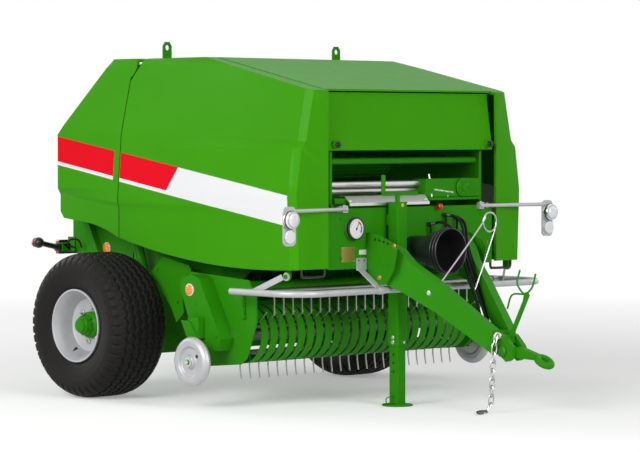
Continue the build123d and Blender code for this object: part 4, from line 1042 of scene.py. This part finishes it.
class BALER_OT_jack(bpy.types.Operator):
    """Adds the jack's pin, black discs of painted shade where its holes are, wire loop and mark"""

    bl_idname = "baler.jack"
    bl_label = "Jack fittings"

    def execute(self, context):
        pins = [bolt(at(JACK_AHEAD, JACK_LEFT - 40, up), -LEFT, 17, 9) for up in (400, 372)]
        through = [(JACK_AHEAD + 55, JACK_LEFT, 372), (JACK_AHEAD - 55, JACK_LEFT, 372)]
        pins.append(tube(places(through), 0.007, 12))
        finished("jack_pin", pins, "chassis", "zinc")
        # black discs on the jack's leg: painted shade standing in for the dark inside the pin holes
        seats = [at(JACK_AHEAD, JACK_LEFT - 33.5, up) for up in (300, 250, 200)]
        holes = [turned([(9, -1), (9, 0.15), (8.6, 0.25)], seat, -LEFT, 20) for seat in seats]
        finished("jack_hole_shade", holes, "jack_leg", "black")
        loop = ((-222, 60), (-258, 56), (-284, 44), (-276, 16), (-240, 16), (-222, 24))
        wire = tube(curve([(JACK_AHEAD, left, up) for left, up in loop]), 0.0035, 8)
        finished("jack_loop", [wire], "jack_leg", "frame_green")
        dot = turned([(11, 0), (11, 0.8), (10, 1.0)], at(JACK_AHEAD + 40, JACK_LEFT, 1168), FORWARD, 24)
        finished("jack_mark", [dot], "chassis", "yellow")
        return {"FINISHED"}


class BALER_OT_hitch(bpy.types.Operator):
    """Adds the safety chain with its hook, the pin and the support fork on the drawbar's tip"""

    bl_idname = "baler.hitch"
    bl_label = "Hitch fittings"

    def execute(self, context):
        safety_chain()
        heads = [(30, 0), (32, 3), (32, 9), (28, 12), (18, 13)]
        pin = [turned(heads, at(PIN_AHEAD, sign * 64, PIN_UP), LEFT * sign, 28) for _, sign in SIDES]
        finished("hitch_pin_heads", pin, "chassis", "frame_green")
        rings = [hoop(at(PIN_AHEAD, sign * 76.5, PIN_UP), 0.024, 0.003, FORWARD, UP) for _, sign in SIDES]
        finished("hitch_pin_rings", rings, "chassis", "iron")
        outline = [(2345, 431), (2374, 426), (2500, 672), (2484, 692), (2462, 684), (2452, 640)]
        flat = plate(outline, at(0, 4, 0), -LEFT, 8, 1.2, up=UP)
        wires = (
            [(2425, 2, 812), (2404, 2, 738), (2440, 0, 690), (2470, 0, 676)],
            [(2543, 2, 794), (2520, 2, 722), (2484, 0, 682)],
            [(2330, 2, 588), (2368, 0, 668), (2462, 0, 676)],
        )
        rods = [tube(curve(wire), 0.0055, 10) for wire in wires]
        finished("hose_fork", [flat] + rods, "chassis", "frame_green")
        return {"FINISHED"}


def safety_chain():
    """The chain that hangs from its shackle to the ground, the hook on its end and the blank tag."""
    run = places([(2328, -88, 436), (2326, -102, 380), (2322, -112, 240), (2318, -120, 60), (2316, -150, 12)])
    finished("safety_chain", [chain(run, 50, 33, 15, 4.0)], "chassis", "chain_steel")
    hook = [(2316, -156, 14), (2316, -196, 16), (2318, -232, 14)]
    hook += [(2340, -248, 12), (2352, -232, 12), (2346, -216, 12)]
    finished("chain_hook", [tube(curve(hook), 0.0075, 12)], "chassis", "iron")
    bow = [(2330, -66, 424), (2329, -92, 420), (2328, -104, 436), (2329, -92, 452), (2330, -66, 448)]
    shackle = [tube(curve(bow), 0.007, 12), bolt(at(2330, -64, 436), -LEFT, 22, 12)]
    finished("chain_shackle", shackle, "chassis", "zinc")
    tag = plate(oblong(26, 32, 4), at(2312, -92, 428), (0.5, -0.85, 0), 1.6, 0.4)
    finished("blank_tag", [tag], "chassis", "label")


# centre lines of the hoses from the panel to the drawbar's tip, in millimetres in the terms of at()
HOSES = (
    (
        (1617, 126, 1049), (1672, 156, 1060), (1718, 190, 1026), (1752, 206, 966), (1786, 202, 890),
        (1830, 186, 812), (1884, 164, 738), (1942, 136, 664), (2004, 106, 588), (2068, 72, 506),
        (2134, 32, 434), (2200, 2, 398), (2246, -14, 396),
    ),
    (
        (1617, 257, 1101), (1668, 282, 1088), (1708, 288, 1044), (1746, 264, 986), (1788, 229, 910),
        (1838, 201, 830), (1896, 178, 752), (1956, 150, 676), (2016, 122, 602), (2074, 94, 534),
        (2134, 53, 464), (2200, 24, 430), (2246, 14, 424),
    ),
    (
        (1617, 353, 1083), (1668, 346, 1060), (1712, 322, 1014), (1756, 281, 960), (1804, 243, 884),
        (1856, 220, 806), (1912, 196, 726), (1968, 172, 652), (2024, 144, 572), (2080, 114, 498),
        (2136, 76, 432), (2200, 46, 396), (2246, 40, 396),
    ),
)
# the wire holder's legs and ring beside the hoses
HOLDER_LEGS = (
    ((1955, -190, 672), (1955, -180, 700), (1955, 30, 896), (1955, 200, 1062), (1955, 226, 1104)),
    ((1955, 140, 676), (1955, 149, 698), (1955, 230, 860), (1955, 305, 1020), (1955, 318, 1062)),
)
HOLDER_RING = (1955, 262, 1066)


class BALER_OT_hoses(bpy.types.Operator):
    """Adds the three hoses from the panel to the drawbar's tip, with their fittings and the wire holder"""

    bl_idname = "baler.hoses"
    bl_label = "Hoses"

    def execute(self, context):
        radius = context.scene.baler_sizes.hose
        fittings, pipes = [], []
        for number, route in enumerate(HOSES, 1):
            line = curve(route, 8)
            finished(f"hose_{number}", [tube(line, radius, 16)], "chassis", "hose")
            start = np.array(route[0], float)
            fittings.append(tube(places([start - [36, 0, 0], start + [4, 0, 1]]), 0.011, 6))
            fittings.append(tube(line[[0, 3]], 0.0125, 18))
            fittings.append(tube(line[[-1, -4]], 0.0115, 18))
            fittings.append(turned([(11, 0), (11, 12), (9, 14)], line[-1], line[-1] - line[-2], 18))
            drop = start + [(-18, 0, 0), (-8, 0, -24), (-12, 2, -60), (-20, 4, -92)]
            pipes.append(tube(curve(drop), 0.007, 12))
        finished("hose_fittings", fittings, "chassis", "iron")
        finished("panel_pipes", pipes, "chassis", "hose")
        ring = hoop(at(*HOLDER_RING), 0.056, 0.005, LEFT, UP, sides=10)
        legs = [tube(curve(leg), 0.005, 10) for leg in HOLDER_LEGS]
        finished("hose_holder", [ring] + legs, "chassis", "chain_steel")
        return {"FINISHED"}


class BALER_OT_drive(bpy.types.Operator):
    """Adds the rings of the drive guard's cup and the splines of the stub"""

    bl_idname = "baler.drive"
    bl_label = "Drive guard"

    def execute(self, context):
        rings = [
            hoop(at(ahead, 0, SHAFT_UP), radius, 0.0042, LEFT, UP, 64)
            for ahead, radius in ((1889, 0.1300), (1868, 0.1310), (1846, 0.1305))
        ]
        finished("drive_cup_rings", rings, "chassis", "black")
        collar = turned([(20, 0), (20, 6), (18, 7)], at(1655, 0, SHAFT_UP), FORWARD, 32)
        finished("drive_splines", [splined_end(), collar], "drive_stub", "zinc")
        return {"FINISHED"}


def splined_end(teeth=6):
    """A bar along X: its radius is 15.2 mm + 3.2 mm * the clipped sine of the angle times the teeth."""
    t = np.linspace(0.0, 2 * math.pi, 96, endpoint=False)
    radius = 0.0152 + 0.0032 * np.clip(1.6 * np.sin(t * teeth), -1, 1)
    ring = np.outer(radius * np.cos(t), LEFT) + np.outer(radius * np.sin(t), UP)
    # stations along the bar in metres, and the size of the section there
    stations = np.array([1.660, 1.752, 1.754])[:, None, None]
    size = np.array([1.0, 1.0, 0.9])[:, None, None]
    return stacked(at(0, 0, SHAFT_UP) + stations * FORWARD + ring * size)


class BALER_OT_pickup_fittings(bpy.types.Operator):
    """Adds lift chains with their pins on the pickup guards"""

    bl_idname = "baler.pickup_fittings"
    bl_label = "Pickup fittings"

    def execute(self, context):
        for hand, sign in SIDES:

            def line(*points):
                return places([(ahead, sign * side, up) for ahead, side, up in points])

            hanging = line((1157, 959, 652), (1159, 958, 600), (1160, 957, 560), (1160, 957, 530))
            parts = [
                chain(hanging, 21, 14, 7, 2.5),
                tube(line((1158, 940, 652), (1158, 968, 652)), 0.005, 12),
                tube(line((1146, 957, 520), (1174, 957, 526)), 0.004, 12),
                bolt(at(1027, sign * GUARD_SIDE, 420), LEFT * sign, 20, 10),
            ]
            finished(f"lift_chain_{hand}", parts, "pickup", "frame_green")
        return {"FINISHED"}


class BALER_OT_guard_fittings(bpy.types.Operator):
    """Adds the bars that hold the front hoop and the covers' handles"""

    bl_idname = "baler.guard_fittings"
    bl_label = "Hoop supports and handles"

    def execute(self, context):
        bars, clamp = [], [(22, -6), (23, 0), (23, 34), (22, 40)]
        for _, sign in SIDES:
            bars.append(flat_bar(at(1590, sign * 440, 802), at(1704, sign * 398, 692)))
            bars.append(turned(clamp, at(1712, sign * 398 - 17, 682), LEFT, 28))
        finished("hoop_bars", bars, "chassis", "silver", sharp=25)
        near = plate(oblong(81, 73, 6), at(PANEL_FACE, -428, 830), FORWARD, 8, 1.5)
        far = (near[0] * [1.0, -1.0, 1.0], near[1])
        finished("hoop_plates", [near, far], "chassis", "silver")
        bend = ((700, 832), (702, 776), (730, 768), (850, 768), (878, 776), (880, 832))
        for hand, sign in SIDES:
            grip = tube(curve([(1560, sign * side, up) for side, up in bend]), 0.008, 12)
            finished(f"cover_handle_{hand}", [grip], f"cover_{hand}", "black")
        arch = [(-690, -700, 866), (-716, -735, 880), (-700, -728, 914)]
        arch += [(-650, -705, 912), (-636, -690, 866)]
        finished("tail_cable", [tube(curve(arch), 0.006, 10)], "tailgate", "hose")
        return {"FINISHED"}


def flat_bar(start, end, half_width=0.022, half_thick=0.0045):
    """A flat bar across the machine's width, from start to end, narrowed to 0.8 at both tips."""
    run = end - start
    width = LEFT * half_width
    skin = np.cross(run / np.linalg.norm(run), LEFT) * half_thick
    corners = np.stack([-width - skin, width - skin, width + skin, -width + skin])
    along = np.array([0.0, 0.04, 0.5, 0.96, 1.0])[:, None, None]
    size = np.array([0.8, 1.0, 1.0, 1.0, 0.8])[:, None, None]
    return stacked(start + along * run + corners * size)


# ---------------------------------------------------------------- stage
class BALER_OT_stage(bpy.types.Operator):
    """Makes the camera, the pale floor and the soft light"""

    bl_idname = "baler.stage"
    bl_label = "Studio"

    def execute(self, context):
        studio = context.scene.baler_studio
        make_camera(studio)
        make_floor()
        make_light(studio)
        context.scene.view_settings.view_transform = "Standard"
        return {"FINISHED"}


def make_camera(studio):
    """The camera at its place, turned round the machine by the azimuth and down by the pitch."""
    data = bpy.data.cameras.new("Camera")
    data.lens = studio.lens
    data.sensor_width = 36.0
    data.clip_end = 200.0
    camera = bpy.data.objects.new("Camera", data)
    bpy.context.scene.collection.objects.link(camera)
    turn, tip = math.radians(studio.azimuth), math.radians(studio.pitch)
    back = Vector((math.sin(turn) * math.cos(tip), -math.cos(turn) * math.cos(tip), math.sin(tip)))
    camera.rotation_mode = "QUATERNION"
    camera.rotation_quaternion = back.to_track_quat("Z", "Y")
    camera.location = studio.camera
    bpy.context.scene.camera = camera


# half the floor's length, where its fade to white begins and over how far, in metres
FLOOR_HALF = 60.0
FADE_START = 3.2
FADE_LENGTH = 7.0
# share of plain white that the floor shows to the camera beside its own lit colour
FLOOR_GLOW = 0.28


def make_floor():
    """A wide pale floor that keeps shadows and shows white to the camera and in reflections."""
    corners = FLOOR_HALF * np.array([(-1, -1, 0), (1, -1, 0), (1, 1, 0), (-1, 1, 0)])
    floor = mesh_object("Floor", corners, [np.array([[0, 1, 2, 3]])])
    finish = Finish("Pale floor", Roughness=0.9, Specular_IOR_Level=0.0, Emission_Strength=1.0)
    ahead, left = finish.place(0), finish.place(1)
    away = (ahead * ahead + left * left).maths("SQRT")
    fade = ((away - FADE_START) / FADE_LENGTH).clamp()
    finish.put("Base Color", finish.mix(fade, (0.87, 0.87, 0.87), (0.0, 0.0, 0.0)))
    glow = finish.seen() * (FLOOR_GLOW + fade * (1 - FLOOR_GLOW))
    finish.put("Emission Color", finish.mix(glow, (0.0, 0.0, 0.0), (1.0, 1.0, 1.0)))
    floor.data.materials.append(finish.material)


# soft lamps: name, place, aim, share of the key light's power
LAMPS = (
    ("Key", (1.5, -9.0, 4.6), (-0.2, 0.0, 0.9), 1.0),
    ("Front", (10.0, -0.5, 4.0), (0.5, 0.0, 0.9), 0.8),
    ("Back", (-9.0, -2.0, 4.2), (-0.5, 0.0, 0.9), 0.45),
    ("Left", (1.0, 9.5, 4.2), (-0.2, 0.0, 0.9), 0.22),
)
LAMP_WIDTH = 4.5


def make_light(studio):
    """White surroundings for camera and reflections, weaker ones for the rest, and four large soft lamps."""
    world = bpy.data.worlds.new("Studio")
    bpy.context.scene.world = world
    world.use_nodes = True
    world.node_tree.nodes.clear()
    sky = Shader(world.node_tree)
    strength = sky.node("Mix", {}, sockets={0: sky.seen(), 2: studio.sky, 3: 1.0})
    sky.node("OutputWorld", {}, sky.node("Background", {}, (1.0, 1.0, 1.0), strength))
    for name, place, aim, share in LAMPS:
        data = bpy.data.lights.new(name, "AREA")
        data.energy = studio.key * share
        data.size = LAMP_WIDTH
        lamp = bpy.data.objects.new(name, data)
        lamp.location = place
        lamp.rotation_mode = "QUATERNION"
        lamp.rotation_quaternion = (Vector(place) - Vector(aim)).to_track_quat("Z", "Y")
        bpy.context.scene.collection.objects.link(lamp)


# ---------------------------------------------------------------- add-on
class BALER_PT_panel(bpy.types.Panel):
    """Lists the finishing steps"""

    bl_idname = "BALER_PT_panel"
    bl_label = "Round baler"
    bl_space_type = "VIEW_3D"
    bl_region_type = "UI"
    bl_category = "Baler"

    def draw(self, context):
        for group in (context.scene.baler_sizes, context.scene.baler_colours, context.scene.baler_studio):
            for name in group.__annotations__:
                self.layout.prop(group, name)
        for step in STEPS:
            self.layout.operator(step.bl_idname)


SETTINGS = {"baler_sizes": BalerSizes, "baler_colours": BalerColours, "baler_studio": BalerStudio}
STEPS = (
    BALER_OT_stage,
    BALER_OT_materials,
    BALER_OT_panels,
    BALER_OT_tyres,
    BALER_OT_wheels,
    BALER_OT_lamps,
    BALER_OT_gauge,
    BALER_OT_net_gear,
    BALER_OT_fasteners,
    BALER_OT_jack,
    BALER_OT_hitch,
    BALER_OT_hoses,
    BALER_OT_drive,
    BALER_OT_pickup_fittings,
    BALER_OT_guard_fittings,
)


def register():
    for group in SETTINGS.values():
        bpy.utils.register_class(group)
    for name, group in SETTINGS.items():
        setattr(bpy.types.Scene, name, PointerProperty(type=group))
    for step in STEPS:
        bpy.utils.register_class(step)
    bpy.utils.register_class(BALER_PT_panel)


def unregister():
    bpy.utils.unregister_class(BALER_PT_panel)
    for step in reversed(STEPS):
        bpy.utils.unregister_class(step)
    for name in SETTINGS:
        delattr(bpy.types.Scene, name)
    for group in SETTINGS.values():
        bpy.utils.unregister_class(group)


def main():
    register()
    for step in STEPS:
        family, name = step.bl_idname.split(".")
        getattr(getattr(bpy.ops, family), name)()


if __name__ == "__main__":
    main()
